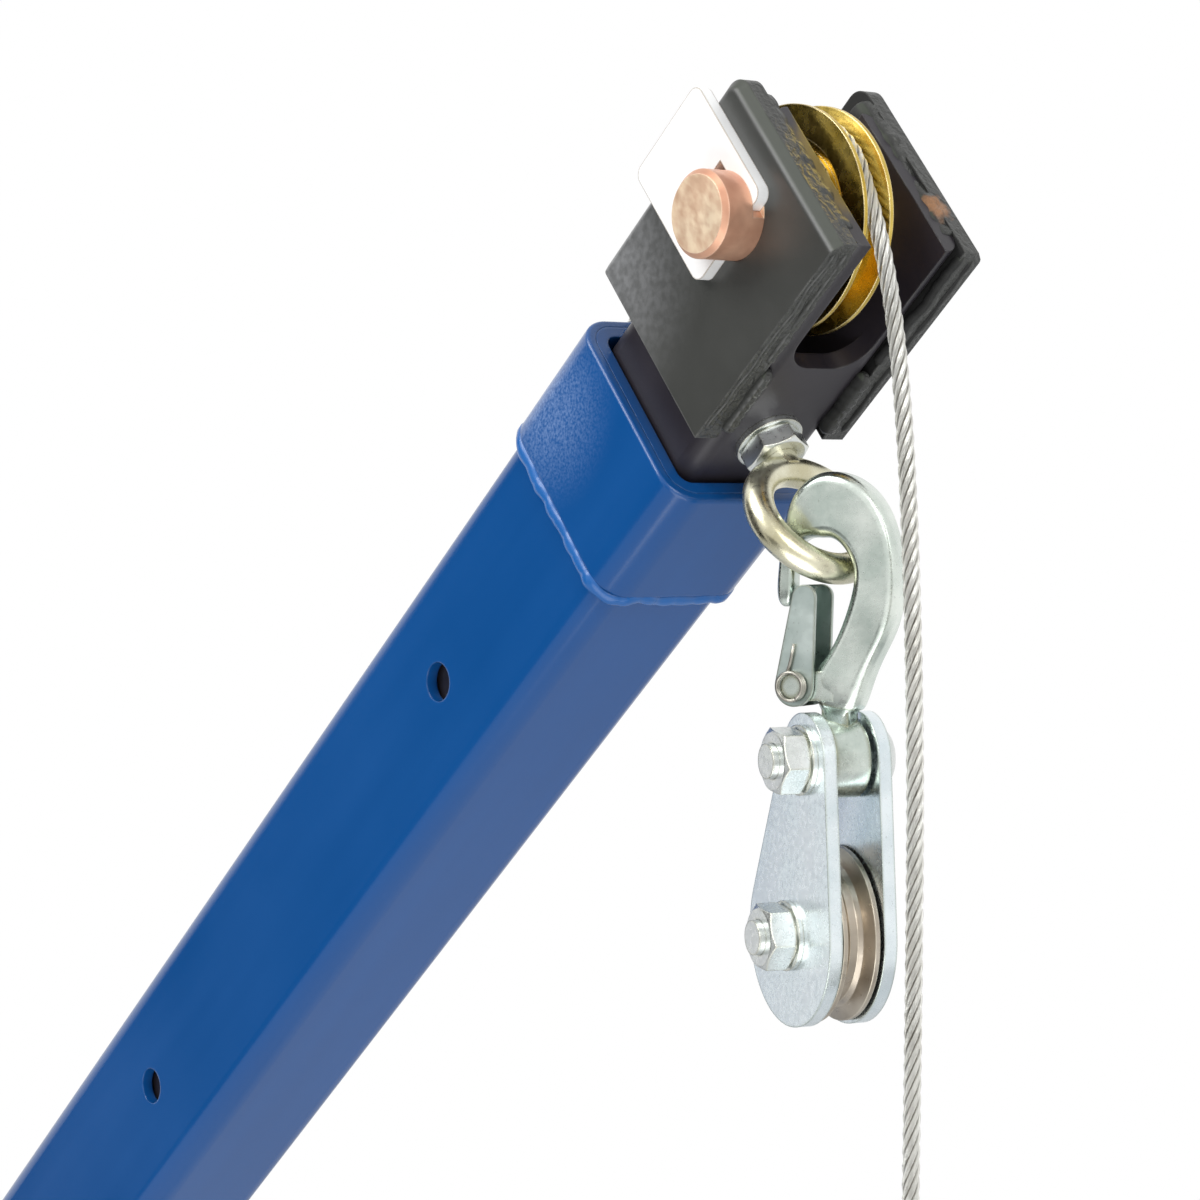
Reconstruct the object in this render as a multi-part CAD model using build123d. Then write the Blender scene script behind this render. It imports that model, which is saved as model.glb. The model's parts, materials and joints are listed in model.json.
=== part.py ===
from build123d import *
import math
import os

# Pickup truck crane: swivel base, mast, jack-raised boom with a sliding extension,
# hand winch, head sheave and a hook block. Sizes in millimetres, angles in degrees.
# X runs forward under the boom, Y to the left, Z up. The origin lies on the swivel axis,
# in the plane of the base plate's underside.

# Clearances
run_gap = 0.05
seat_gap = 0.3
side_gap = 0.5

# Nuts and bolt heads
nut_chamfer = 1.0
nut_face_share = 0.475

# Stance
pivot_height = 760.0
boom_elevation = 39.2

# Base
base_side = 280.0
base_thickness = 10.0
base_corner = 18.0
base_bolt_spacing = 220.0
base_bolt_hole = 13.0
socket_outer = 76.0
socket_wall = 6.0
socket_height = 190.0
gusset_thickness = 8.0
gusset_reach = 66.0
gusset_height = 120.0
gusset_nose = 14.0
bush_wall = 6.0
bush_length = 45.0
thrust_thickness = 4.0

# Mast
mast_side = 70.0
mast_wall = 5.0
mast_corner = 8.0
foot_radius = 52.0
foot_thickness = 10.0
foot_relief = 4.0
mast_top_drop = 64.0
cheek_thickness = 8.0
cheek_radius = 36.0
cheek_overlap = 120.0
pivot_pin_diameter = 25.0
pin_head = 6.0
pin_head_lip = 6.0
pin_tail = 12.0

# Jack and its two brackets
jack_offset = 90.0
link_radius = 440.0
boom_bracket_drop = 70.0
jack_pin_diameter = 16.0
lug_radius = 20.0
lug_width = 28.0
ear_thickness = 8.0
ear_radius = 22.0
mast_ear_height = 25.0
bracket_plate_rise = 55.0
bracket_foot_gap = 8.0
bracket_plate_thickness = 6.0
boom_ear_length = 110.0
jack_base_start = 24.0
jack_base_end = 74.0
jack_base_width = 64.0
jack_base_corner = 10.0
jack_bore_start = 72.0
jack_bore = 38.0
jack_outer = 60.0
jack_cap_start = 420.0
jack_cap_length = 22.0
jack_cap_across = 56.0
ram_diameter = 28.0
ram_length = 420.0
piston_length = 24.0
pump_offset = 66.0
pump_boss_radius = 14.0
pump_boss_end = 88.0
plunger_diameter = 12.0
plunger_start = 50.0
plunger_well = 34.0
lever_station = 130.0
fulcrum_offset = 42.0
lever_pin_diameter = 8.0
lever_slot_play = 1.0
lever_slot_length = 14.0
link_thickness = 5.0
link_foot_back = 8.0
link_foot_drop = 4.0
lever_pin_proud = 2.0
link_gap = 15.0
lever_thickness = 4.0
lever_inset = 3.0
lever_boss = 8.0
lever_end = 11.0
lever_overlap = 14.0
lever_gap = 13.0
socket_tube_outer = 28.0
socket_tube_inner = 20.0
socket_tube_start = 84.0
socket_tube_length = 90.0
socket_floor = 12.0
handle_length = 250.0
handle_insert = 60.0
knob_radius = 11.0
knob_length = 16.0
knob_stem = 4.0
knob_flutes = 8
flute_offset = 12.0
flute_radius = 2.4

# Boom
boom_height = 65.0
boom_width = 50.0
boom_wall = 4.0
boom_corner = 8.0
boom_length = 1000.0
boom_tail = 45.0
pivot_bush_wall = 6.5
lock_hole = 12.5
lock_hole_first = 130.0
lock_hole_pitch = 236.0
lock_hole_count = 3
lock_pin_diameter = 12.0
lock_pin_tail = 8.0
lock_pin_grip = 55.0
lock_pin_bend = 16.0
collar_wall = 3.0
collar_length = 45.0
collar_edge = 1.2
weld_length = 4.0
weld_height = 2.2
weld_toe = 0.3

# Extension and its head
extension_height = 54.0
extension_width = 40.0
extension_wall = 6.0
extension_corner = 6.0
extension_reach = 97.0
notch_reach = 48.0
notch_corner = 10.0
top_notch_reach = 34.0
plate_start = 19.0
plate_length = 79.0
plate_height = 67.3
plate_drop = 28.0
plate_thickness = 8.0
plate_bevel = 2.9
plate_edge = 1.2
plate_round = 2.6
plate_nose = 6.0
head_weld = 4.0
head_weld_start = 2.0
axle_diameter = 25.0
axle_reach = 72.5
axle_rise = 7.4
axle_near_proud = 14.0
axle_far_proud = 6.0
axle_chamfer = 1.5
kerf_depth = 4.0
kerf_play = 0.1
keeper_width = 36.5
keeper_height = 43.5
keeper_thickness = 4.0
keeper_corner = 3.5
keeper_shift = -3.0
keeper_drop = 6.5
sheave_diameter = 65.0
sheave_width = 11.0
sheave_offset = -3.5
sheave_groove = 50.0
sheave_rim = 1.4
sheave_hub = 42.0
sheave_web_recess = 1.6
sheave_web_step = 1.5
sheave_bush_outer = 32.0

# Eye bolt under the extension
eye_reach = 18.3
eye_thread = 10.0
eye_bar = 9.0
eye_ring_radius = 18.0
eye_washer_radius = 10.3
eye_washer_thickness = 2.0
eye_nut_across = 17.0
eye_outer_nut = 6.5
eye_inner_nut = 8.0
eye_thread_end = 3.0

# Hooks: one forging carries the block, another hangs on the rope
hook_yaw = 25.0
hook_slide = -2.2
hook_length = 53.6
hook_thickness = 10.0
hook_neck_x = 1.2
hook_neck_z = -39.0
hook_neck_width = 8.0
hook_neck_depth = 7.2
hook_corner_share = 0.62
hook_eye_radius = 11.0
hook_eye_thickness = 11.0
hook_eye_overlap = 3.0
latch_x = -10.0
latch_z = -33.0
latch_lug_radius = 4.2
latch_sheet = 1.2
latch_gap = 0.4
latch_top_x = -6.6
latch_top_z = -8.0
latch_top_radius = 3.6
latch_back = 20.0
rivet_diameter = 4.0
rivet_head_radius = 3.4
rivet_head_height = 1.4
rivet_stand = 0.2

# Sections of the hook from its neck over the bow to the tip, drawn about the bar it hangs on:
# middle x and z, angle of the section's line from inside to outside, width and thickness
hook_sections = [
    (1.2, -39.0, -10.0, 11.0, 9.2),
    (5.0, -27.2, -14.0, 14.8, 10.0),
    (11.2, -15.5, -13.0, 14.4, 10.0),
    (13.9, -3.7, -1.0, 13.6, 10.0),
    (12.7, 6.2, 34.0, 15.0, 10.0),
    (7.3, 14.9, 62.0, 17.9, 10.4),
    (-2.2, 17.8, 94.0, 18.2, 10.4),
    (-8.4, 14.5, 117.0, 12.8, 9.2),
    (-12.5, 7.9, 138.0, 6.0, 7.2),
    (-13.8, -0.5, 168.0, 5.0, 6.2),
    (-14.2, -6.6, 176.0, 5.0, 6.0),
    (-14.3, -9.6, 180.0, 3.6, 4.4),
    (-14.3, -10.6, 180.0, 1.6, 2.0),
]

# Hook block
block_yaw = -15.0
block_lean = 11.6
block_bolt = 10.0
block_axle_drop = 51.4
cheek_top_radius = 13.3
cheek_bottom_radius = 26.0
block_cheek_thickness = 4.0
block_gap = 13.0
block_sheave_diameter = 50.0
block_sheave_width = 11.4
block_sheave_rim = 1.4
block_sheave_groove = 40.0
block_nut_across = 17.0
block_nut_height = 8.0
block_washer_radius = 10.0
block_washer_thickness = 1.6
block_bolt_end = 2.0
block_head_radius = 9.0
block_head_height = 5.0
block_head_round = 3.5

# Winch on the boom
winch_station = 150.0
winch_length = 136.0
winch_wall = 4.0
winch_inner_width = 68.0
winch_foot_gap = 16.5
frame_corner = 4.0
drum_boss = 26.0
pinion_boss = 20.0
pawl_boss = 13.0
gear_module = 3.0
gear_teeth = 36
pinion_teeth = 12
gear_width = 8.0
gear_hole = 9.0
pinion_width = 11.0
pinion_angle = 150.0
tooth_addendum = 2.4
tooth_dedendum = 3.2
tooth_share = 0.86
tooth_flank = 20.0
drum_core = 40.0
drum_flange = 100.0
drum_flange_thickness = 3.0
drum_flange_side = -30.0
gear_side = 22.0
hub_diameter = 30.0
drum_axle_diameter = 16.0
axle_nut_across = 24.0
axle_nut_height = 8.0
crank_shaft_diameter = 16.0
shaft_proud = 5.0
crank_plane = 62.0
crank_thickness = 8.0
crank_length = 180.0
crank_width = 28.0
crank_end_width = 24.0
crank_nut_across = 22.0
crank_nut_height = 8.0
grip_diameter = 28.0
grip_length = 95.0
grip_pin_diameter = 12.0
grip_head_lip = 3.0
grip_head = 4.0
grip_edge = 4.0
pawl_radius = 76.0
pawl_angle = 116.0
pawl_length = 27.0
pawl_clearance = 0.6
pawl_tip = 2.5
pawl_hub = 8.0
pawl_pin_diameter = 8.0
winch_bolt = 8.0
winch_bolt_across = 13.0
winch_bolt_head = 5.5
winch_bolt_spread = 92.0
winch_bolt_gauge = 18.0

# Rope
rope_diameter = 5.0
winding_core = 59.2
winding_pitch = 5.5
winding_turns = 7.75
winding_start = -23.6
wrap_split_angle = 30.0
rope_departure = 22.0
ferrule_length = 24.0
ferrule_width = 16.0
ferrule_depth = 10.5
ferrule_edge = 1.2
strand_spacing = 5.2
thimble_drop = 30.0
thimble_inner = 7.6
thimble_sheet = 2.6
thimble_width = 6.0
thimble_apex_drop = 11.0
thimble_apex = 2.3
thimble_apex_wall = 5.0
thimble_inner_apex = 1.15
load_eye_bar = 8.0
load_eye_radius = 13.0
load_eye_seat = 0.9
load_neck = 3.0

# Hanging rope, forward and up from the head axle, as it hangs with the hook on it
tail_route = [
    (35.6, -14.7),
    (41.3, -50.0),
    (43.9, -95.0),
    (44.7, -150.0),
    (43.2, -205.0),
    (41.0, -262.0),
    (39.5, -300.0),
]


# Basic shapes
def span(x0, x1, y0, y1, z0, z1):
    middle = Pos((x0 + x1) / 2, (y0 + y1) / 2, (z0 + z1) / 2)
    return middle * Box(x1 - x0, y1 - y0, z1 - z0)


def rod_x(radius, x0, x1, y=0.0, z=0.0):
    return Pos((x0 + x1) / 2, y, z) * Rot(0, 90, 0) * Cylinder(radius, x1 - x0)


def rod_y(radius, y0, y1, x=0.0, z=0.0):
    return Pos(x, (y0 + y1) / 2, z) * Rot(90, 0, 0) * Cylinder(radius, y1 - y0)


def rod_z(radius, z0, z1, x=0.0, y=0.0):
    return Pos(x, y, (z0 + z1) / 2) * Cylinder(radius, z1 - z0)


def plate_y(outline, y0, y1):
    """Outline drawn in x and z, made into a plate from y0 to y1."""
    return Pos(0, y1, 0) * (Plane.XZ * extrude(outline, y1 - y0))


def bar_x(outline, x0, x1):
    """Outline drawn in y and z, drawn out from x0 to x1."""
    return Pos(x0, 0, 0) * (Plane.YZ * extrude(outline, x1 - x0))


def hull(*circles):
    edges = []
    for x, z, radius in circles:
        edges += (Pos(x, z) * Circle(radius)).edges()
    return make_hull(edges)


def hexagon(across):
    return RegularPolygon(radius=across / 2, side_count=6, major_radius=False)


def tube_section(height, width, corner, wall):
    inner_corner = max(corner - wall, 0.5)
    outer = RectangleRounded(width, height, corner)
    return outer - RectangleRounded(width - 2 * wall, height - 2 * wall, inner_corner)


def polar(radius, angle):
    return (radius * math.cos(math.radians(angle)), radius * math.sin(math.radians(angle)))


def tube_along(path, radius):
    start = Plane(origin=path @ 0, z_dir=path % 0)
    return sweep(start * Circle(radius), path=path)


# Frames of the tilted assemblies
boom_frame = Location((0, 0, pivot_height), (0, -boom_elevation, 0))
mast_link = Vector(jack_offset, 0, pivot_height - math.sqrt(link_radius**2 - jack_offset**2))
boom_link_station = math.sqrt(link_radius**2 - boom_bracket_drop**2)
boom_link = (boom_frame * Pos(boom_link_station, 0, -boom_bracket_drop)).position
jack_line = boom_link - mast_link
jack_angle = math.degrees(math.atan2(jack_line.Z, jack_line.X))
jack_frame = Location(tuple(mast_link), (0, -jack_angle, 0))
head_axle = (boom_length + axle_reach, axle_rise)
head_axle_point = (boom_frame * Pos(head_axle[0], 0, head_axle[1])).position
eye_seat = -extension_height / 2
eye_ring_centre = eye_seat - eye_washer_thickness - eye_outer_nut - eye_ring_radius - eye_bar / 2
eye_low_point = eye_ring_centre - eye_ring_radius
hook_seat_rise = eye_ring_radius - math.sqrt(eye_ring_radius**2 - hook_slide**2)
hook_seat = (boom_frame * Pos(boom_length + eye_reach, hook_slide, eye_low_point + hook_seat_rise)).position
hook_frame = Location(tuple(hook_seat), (0, 0, hook_yaw))
block_hang = Location(tuple(hook_seat), (0, 0, block_yaw)) * Pos(0, 0, -hook_length)
block_frame = block_hang * Rot(0, block_lean, 0)


# Base
socket_inner_radius = socket_outer / 2 - socket_wall
spindle_radius = socket_inner_radius - bush_wall
socket_top = base_thickness + socket_height
foot_bottom = socket_top + thrust_thickness
foot_top = foot_bottom + foot_thickness


def base_plate():
    plate = extrude(RectangleRounded(base_side, base_side, base_corner), base_thickness)
    for hole in GridLocations(base_bolt_spacing, base_bolt_spacing, 2, 2):
        plate -= hole * rod_z(base_bolt_hole / 2, -1, base_thickness + 1)
    return plate


def base_socket():
    tube = rod_z(socket_outer / 2, base_thickness, socket_top)
    return tube - rod_z(socket_inner_radius, base_thickness, socket_top)


def base_gussets():
    inner = socket_outer / 2
    with BuildLine() as edge:
        Polyline(
            (inner - 1, 0),
            (inner + gusset_reach, 0),
            (inner + gusset_reach, gusset_nose),
            (inner + gusset_nose, gusset_height),
            (inner - 1, gusset_height),
            close=True,
        )
    web = plate_y(make_face(edge.edges()), -gusset_thickness / 2, gusset_thickness / 2)
    web = Pos(0, 0, base_thickness) * web - rod_z(inner, 0, socket_top)
    return [Rot(0, 0, 45 + 90 * turn) * web for turn in range(4)]


def swivel_bushes():
    ring = rod_z(socket_inner_radius, 0, bush_length)
    ring -= rod_z(spindle_radius + run_gap, 0, bush_length)
    upper = socket_top - bush_length
    return [Pos(0, 0, base_thickness) * ring, Pos(0, 0, upper) * ring]


def thrust_washer():
    ring = rod_z(socket_outer / 2, socket_top, foot_bottom)
    return ring - rod_z(spindle_radius + side_gap, socket_top, foot_bottom)


# Mast
mast_top = pivot_height - mast_top_drop
cheek_bottom = mast_top - cheek_overlap
cheek_inner = mast_side / 2
cheek_outer = cheek_inner + cheek_thickness


def mast_spindle():
    shaft = rod_z(spindle_radius, base_thickness + foot_relief, foot_bottom)
    return shaft + rod_z(foot_radius, foot_bottom, foot_top)


def mast_tube():
    section = tube_section(mast_side, mast_side, mast_corner, mast_wall)
    return Pos(0, 0, foot_top) * extrude(section, mast_top - foot_top)


def mast_cheeks():
    half = mast_side / 2 - mast_corner
    lower = cheek_bottom + mast_corner
    outline = hull(
        (0, pivot_height, cheek_radius),
        (-half + mast_corner, lower, mast_corner),
        (half - mast_corner, lower, mast_corner),
    )
    cheeks = []
    for y0 in (-cheek_outer, cheek_inner):
        plate = plate_y(outline, y0, y0 + cheek_thickness)
        hole = rod_y(pivot_pin_diameter / 2 + run_gap, y0 - 1, y0 + cheek_thickness + 1, 0, pivot_height)
        cheeks.append(plate - hole)
    return cheeks


def boom_pivot_pin():
    radius = pivot_pin_diameter / 2
    pin = rod_y(radius, -cheek_outer, cheek_outer + pin_tail, 0, pivot_height)
    return pin + rod_y(radius + pin_head_lip, -cheek_outer - pin_head, -cheek_outer, 0, pivot_height)


def jack_mast_bracket():
    half_gap = lug_width / 2 + side_gap
    outer = half_gap + ear_thickness
    back = mast_side / 2
    z = mast_link.Z
    plate = span(
        back,
        back + bracket_plate_thickness,
        -outer,
        outer,
        foot_top + bracket_foot_gap,
        z + bracket_plate_rise,
    )
    with BuildLine() as edge:
        Polyline(
            (back + bracket_plate_thickness, z - mast_ear_height),
            (jack_offset, z - ear_radius),
            (jack_offset, z + ear_radius),
            (back + bracket_plate_thickness, z + mast_ear_height),
            close=True,
        )
    outline = make_face(edge.edges()) + Pos(jack_offset, z) * Circle(ear_radius)
    for y0 in (-outer, half_gap):
        plate += plate_y(outline, y0, y0 + ear_thickness)
    return plate - rod_y(jack_pin_diameter / 2 + run_gap, -outer - 1, outer + 1, jack_offset, z)


def cross_pin(half_length, x, z):
    """Headed jack pin across two ears, its shank end standing out past the second ear."""
    radius = jack_pin_diameter / 2
    pin = rod_y(radius, -half_length, half_length + pin_tail, x, z)
    return pin + rod_y(radius + pin_head_lip, -half_length - pin_head, -half_length, x, z)


def jack_lower_pin():
    half = lug_width / 2 + side_gap + ear_thickness
    return cross_pin(half, jack_offset, mast_link.Z)


# Jack, drawn along x from its lower pin
def jack_base():
    half = jack_base_width / 2
    lug = rod_y(lug_radius, -lug_width / 2, lug_width / 2)
    lug += span(0, jack_base_start + 1, -lug_width / 2, lug_width / 2, -lug_radius, lug_radius)
    square = RectangleRounded(jack_base_width, jack_base_width, jack_base_corner)
    block = bar_x(square, jack_base_start, jack_base_end)
    boss = rod_x(pump_boss_radius, jack_base_start, pump_boss_end, 0, -pump_offset)
    boss += span(
        jack_base_start,
        jack_base_end,
        -pump_boss_radius,
        pump_boss_radius,
        -pump_offset,
        -half + 1,
    )
    body = lug + block + boss
    body -= rod_x(plunger_diameter / 2 + run_gap, plunger_well, pump_boss_end + 1, 0, -pump_offset)
    body -= rod_x(jack_bore / 2 + run_gap, jack_bore_start, jack_base_end)
    body -= rod_y(jack_pin_diameter / 2 + run_gap, -lug_width, lug_width)
    links = hull(
        (lever_station, -fulcrum_offset, lever_pin_diameter),
        (jack_base_end - link_foot_back, -half - link_foot_drop, lever_pin_diameter),
    )
    for y0 in (-link_gap - link_thickness, link_gap):
        body += plate_y(links, y0, y0 + link_thickness)
    outer = link_gap + link_thickness + lever_pin_proud
    body += rod_y(lever_pin_diameter / 2, -outer, outer, lever_station, -fulcrum_offset)
    return body


def jack_cylinder():
    tube = rod_x(jack_outer / 2, jack_base_end, jack_cap_start)
    return tube - rod_x(jack_bore / 2 + run_gap, jack_base_end, jack_cap_start)


def jack_cap():
    nut = bar_x(hexagon(jack_cap_across), jack_cap_start, jack_cap_start + jack_cap_length)
    return nut - rod_x(ram_diameter / 2 + run_gap, jack_cap_start - 1, jack_cap_start + jack_cap_length + 1)


def release_knob():
    middle = (jack_base_start + jack_base_end) / 2
    face = jack_base_width / 2
    stem = rod_y(knob_stem, face, face + knob_length / 2, middle)
    grip = rod_y(knob_radius, face + knob_length / 2, face + knob_length * 1.5, middle)
    for turn in range(knob_flutes):
        x, z = polar(flute_offset, 360 * turn / knob_flutes)
        grip -= rod_y(flute_radius, face, face + knob_length * 2, middle + x, z)
    return stem + grip


def pump_plunger():
    radius = plunger_diameter / 2
    rod = rod_x(radius, plunger_start, lever_station + radius, 0, -pump_offset)
    half = lever_gap + lever_thickness + lever_pin_proud
    return rod + rod_y(lever_pin_diameter / 2, -half, half, lever_station, -pump_offset)


def pump_lever():
    """Two straps from the fulcrum past the plunger's pin to the handle socket."""
    reach = -socket_tube_start - lever_overlap
    strap = hull((lever_station, -fulcrum_offset, lever_boss), (lever_station, reach, lever_end))
    slot_radius = lever_pin_diameter / 2 + lever_slot_play
    half_slot = (lever_slot_length - lever_pin_diameter) / 2
    slot = hull(
        (lever_station, -pump_offset - half_slot, slot_radius),
        (lever_station, -pump_offset + half_slot, slot_radius),
    )
    outline = strap - slot - Pos(lever_station, -fulcrum_offset) * Circle(lever_pin_diameter / 2 + run_gap)
    socket_end = -socket_tube_start - socket_tube_length
    lever = rod_z(socket_tube_outer / 2, socket_end, -socket_tube_start, lever_station)
    for y0 in (-lever_gap - lever_thickness + lever_inset, lever_gap - lever_inset):
        lever += plate_y(outline, y0, y0 + lever_thickness)
    floor = -socket_tube_start - socket_floor
    return lever - rod_z(socket_tube_inner / 2 + run_gap, socket_end, floor, lever_station)


def pump_handle():
    socket_end = -socket_tube_start - socket_tube_length
    top = socket_end + handle_insert
    return rod_z(socket_tube_inner / 2, top - handle_length, top, lever_station)


def jack_ram():
    tip = jack_line.length
    start = tip - ram_length
    ram = rod_x(ram_diameter / 2, start, tip - lug_radius + 2)
    ram += rod_x(jack_bore / 2, start, start + piston_length)
    ram += rod_y(lug_radius, -lug_width / 2, lug_width / 2, tip)
    return ram - rod_y(jack_pin_diameter / 2 + run_gap, -lug_width, lug_width, tip)


# Boom, drawn along x from its pivot with its axis at z = 0
boom_top = boom_height / 2
lock_stations = [
    boom_length - lock_hole_first - index * lock_hole_pitch for index in range(lock_hole_count)
]
lock_station = lock_stations[-1]
bush_radius = pivot_pin_diameter / 2 + pivot_bush_wall


def boom_tube():
    tube = bar_x(tube_section(boom_height, boom_width, boom_corner, boom_wall), -boom_tail, boom_length)
    for station in lock_stations:
        tube -= rod_y(lock_hole / 2, -boom_width, boom_width, station)
    tube -= rod_y(bush_radius + run_gap, -boom_width, boom_width)
    for u, w in winch_bolt_places():
        tube -= rod_z(winch_bolt / 2 + run_gap, boom_top - boom_wall - 1, boom_top + 1, u, w)
    return tube


def boom_pivot_bush():
    half = cheek_inner - side_gap
    return rod_y(bush_radius, -half, half) - rod_y(pivot_pin_diameter / 2 + run_gap, -half, half)


def boom_collar():
    height = boom_height + 2 * collar_wall
    width = boom_width + 2 * collar_wall
    outline = RectangleRounded(width, height, boom_corner + collar_wall)
    sleeve = bar_x(outline, boom_length - collar_length, boom_length)
    sleeve = fillet(sleeve.faces().sort_by(Axis.X)[0].edges(), collar_edge)
    sleeve = fillet(sleeve.faces().sort_by(Axis.X)[-1].edges(), collar_edge)
    return sleeve - bar_x(RectangleRounded(boom_width, boom_height, boom_corner), 0, boom_length + 1)


def collar_weld():
    """Fillet weld closing the step from the boom to the rear edge of its collar."""
    rear = boom_length - collar_length

    def ring(x, rise):
        outline = RectangleRounded(boom_width + 2 * rise, boom_height + 2 * rise, boom_corner + rise)
        return Pos(x, 0, 0) * (Plane.YZ * outline)

    bead = loft([ring(rear - weld_length, weld_toe), ring(rear, weld_height)], ruled=True)
    return bead - bar_x(RectangleRounded(boom_width, boom_height, boom_corner), 0, boom_length)


def boom_jack_bracket():
    half_gap = lug_width / 2 + side_gap
    outer = half_gap + ear_thickness
    half = boom_ear_length / 2
    with BuildLine() as edge:
        Polyline(
            (boom_link_station - half, -boom_top),
            (boom_link_station - ear_radius, -boom_bracket_drop),
            (boom_link_station + ear_radius, -boom_bracket_drop),
            (boom_link_station + half, -boom_top),
            close=True,
        )
    outline = make_face(edge.edges()) + Pos(boom_link_station, -boom_bracket_drop) * Circle(ear_radius)
    ears = []
    for y0 in (-outer, half_gap):
        ear = plate_y(outline, y0, y0 + ear_thickness)
        place = (boom_link_station, -boom_bracket_drop)
        ears.append(ear - rod_y(jack_pin_diameter / 2 + run_gap, -outer - 1, outer + 1, *place))
    return ears


def jack_upper_pin():
    half = lug_width / 2 + side_gap + ear_thickness
    return cross_pin(half, boom_link_station, -boom_bracket_drop)


def lock_pin():
    """Bent rod through the boom behind the extension, which rests against it."""
    near = -boom_width / 2 - lock_pin_bend
    path = FilletPolyline(
        (lock_station, boom_width / 2 + lock_pin_tail, 0),
        (lock_station, near, 0),
        (lock_station, near, -lock_pin_grip),
        radius=lock_pin_diameter,
    )
    return tube_along(path, lock_pin_diameter / 2)


# Extension head
head_start = boom_length + plate_start
extension_start = lock_station + lock_pin_diameter / 2 + seat_gap
extension_half = extension_width / 2
head_half = extension_half + plate_thickness
plate_top = plate_height - plate_drop


def extension_tube():
    end = boom_length + extension_reach
    section = tube_section(extension_height, extension_width, extension_corner, extension_wall)
    tube = bar_x(section, extension_start, end)
    opening = extension_width - 2 * extension_wall
    front = end + notch_corner

    def slot(start):
        length = front - start
        outline = RectangleRounded(length, opening, notch_corner)
        return Pos(start + length / 2, 0, 0) * extrude(outline, extension_height)

    tube -= slot(boom_length + top_notch_reach)
    tube -= Pos(0, 0, -extension_height) * slot(boom_length + notch_reach)
    tube -= rod_y(axle_diameter / 2 + run_gap, -head_half, head_half, *head_axle)
    tube -= rod_z(eye_thread / 2 + run_gap, eye_seat - 1, 0, boom_length + eye_reach)
    return tube


def head_plate(y0, outer_face):
    """Flame-cut plate, bevelled along its outer front edge and rounded along the top."""
    middle = Pos(head_start + plate_length / 2, plate_top - plate_height / 2)
    outline = middle * Rectangle(plate_length, plate_height)
    nose = outline.vertices().sort_by(Axis.X)[-2:].sort_by(Axis.Y)[-1]
    outline = fillet(nose, plate_nose)
    plate = plate_y(outline, y0, y0 + plate_thickness)
    face = plate.faces().sort_by(Axis.Y)[outer_face]
    front = face.edges().filter_by(Axis.Z).sort_by(Axis.X)[-1]
    plate = chamfer(front, plate_bevel)
    face = plate.faces().sort_by(Axis.Y)[outer_face]
    top = face.edges().filter_by(Axis.X).sort_by(Axis.Z)[-1]
    plate = fillet(top, plate_round)
    return plate - rod_y(axle_diameter / 2 + run_gap, y0 - 1, y0 + plate_thickness + 1, *head_axle)


def head_welds():
    """Fillet beads along the foot of both plates, where they meet the tube's underside."""
    beads = []
    for side in (-1, 1):
        with BuildLine() as edge:
            Polyline(
                (side * extension_half, -plate_drop + weld_toe),
                (side * (extension_half - head_weld), eye_seat),
                (side * extension_half, eye_seat),
                close=True,
            )
        bead = make_face(edge.edges())
        beads.append(bar_x(bead, head_start + head_weld_start, boom_length + notch_reach))
    return beads


def axle_pin():
    near = -head_half - axle_near_proud
    far = head_half + axle_far_proud
    pin = rod_y(axle_diameter / 2, near, far, *head_axle)
    pin = chamfer(pin.edges().filter_by(GeomType.CIRCLE), axle_chamfer)
    radius = axle_diameter / 2
    back = -head_half - keeper_thickness - kerf_play
    for side in (-1, 1):
        inner = head_axle[0] + side * (radius - kerf_depth)
        outer = head_axle[0] + side * (radius + 1)
        u0, u1 = min(inner, outer), max(inner, outer)
        pin -= span(u0, u1, back, -head_half, head_axle[1] - axle_diameter, head_axle[1] + axle_diameter)
    return pin


def keeper_plate():
    """Lock plate whose open slot drops into the axle pin's two kerfs."""
    slot = axle_diameter / 2 - kerf_depth + run_gap
    bottom = head_axle[1] - keeper_drop
    outline = Pos(head_axle[0] + keeper_shift, bottom + keeper_height / 2) * RectangleRounded(
        keeper_width, keeper_height, keeper_corner
    )
    axle_top = head_axle[1] + axle_diameter / 2 + seat_gap
    outline -= Pos(head_axle[0], (bottom - 1 + axle_top) / 2) * Rectangle(2 * slot, axle_top - bottom + 1)
    return plate_y(outline, -head_half - keeper_thickness, -head_half)


def turned(points):
    """Solid turned about y from points of radius and y."""
    face = make_face(Polyline(*points, close=True))
    return revolve(face, Axis.Y)


def grooved_wheel(outer, width, groove, rim, bore):
    half = width / 2
    floor = rope_diameter / 2
    return turned(
        [
            (bore / 2, -half),
            (outer / 2, -half),
            (outer / 2, -half + rim),
            (groove / 2 + floor * 0.4, -floor),
            (groove / 2, -floor * 0.5),
            (groove / 2, floor * 0.5),
            (groove / 2 + floor * 0.4, floor),
            (outer / 2, half - rim),
            (outer / 2, half),
            (bore / 2, half),
        ]
    )


def head_sheave():
    bore = sheave_bush_outer + 2 * run_gap
    wheel = grooved_wheel(sheave_diameter, sheave_width, sheave_groove, sheave_rim, bore)
    half = sheave_width / 2
    for y0, y1 in ((-half, -half + sheave_web_recess), (half - sheave_web_recess, half)):
        ring = rod_y(sheave_groove / 2 - sheave_web_step, y0, y1) - rod_y(sheave_hub / 2, y0, y1)
        wheel -= ring
    return Pos(head_axle[0], sheave_offset, head_axle[1]) * wheel


def sheave_bush():
    half = extension_half - extension_wall - side_gap
    bush = rod_y(sheave_bush_outer / 2, -half, half, *head_axle)
    return bush - rod_y(axle_diameter / 2 + run_gap, -half, half, *head_axle)


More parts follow.
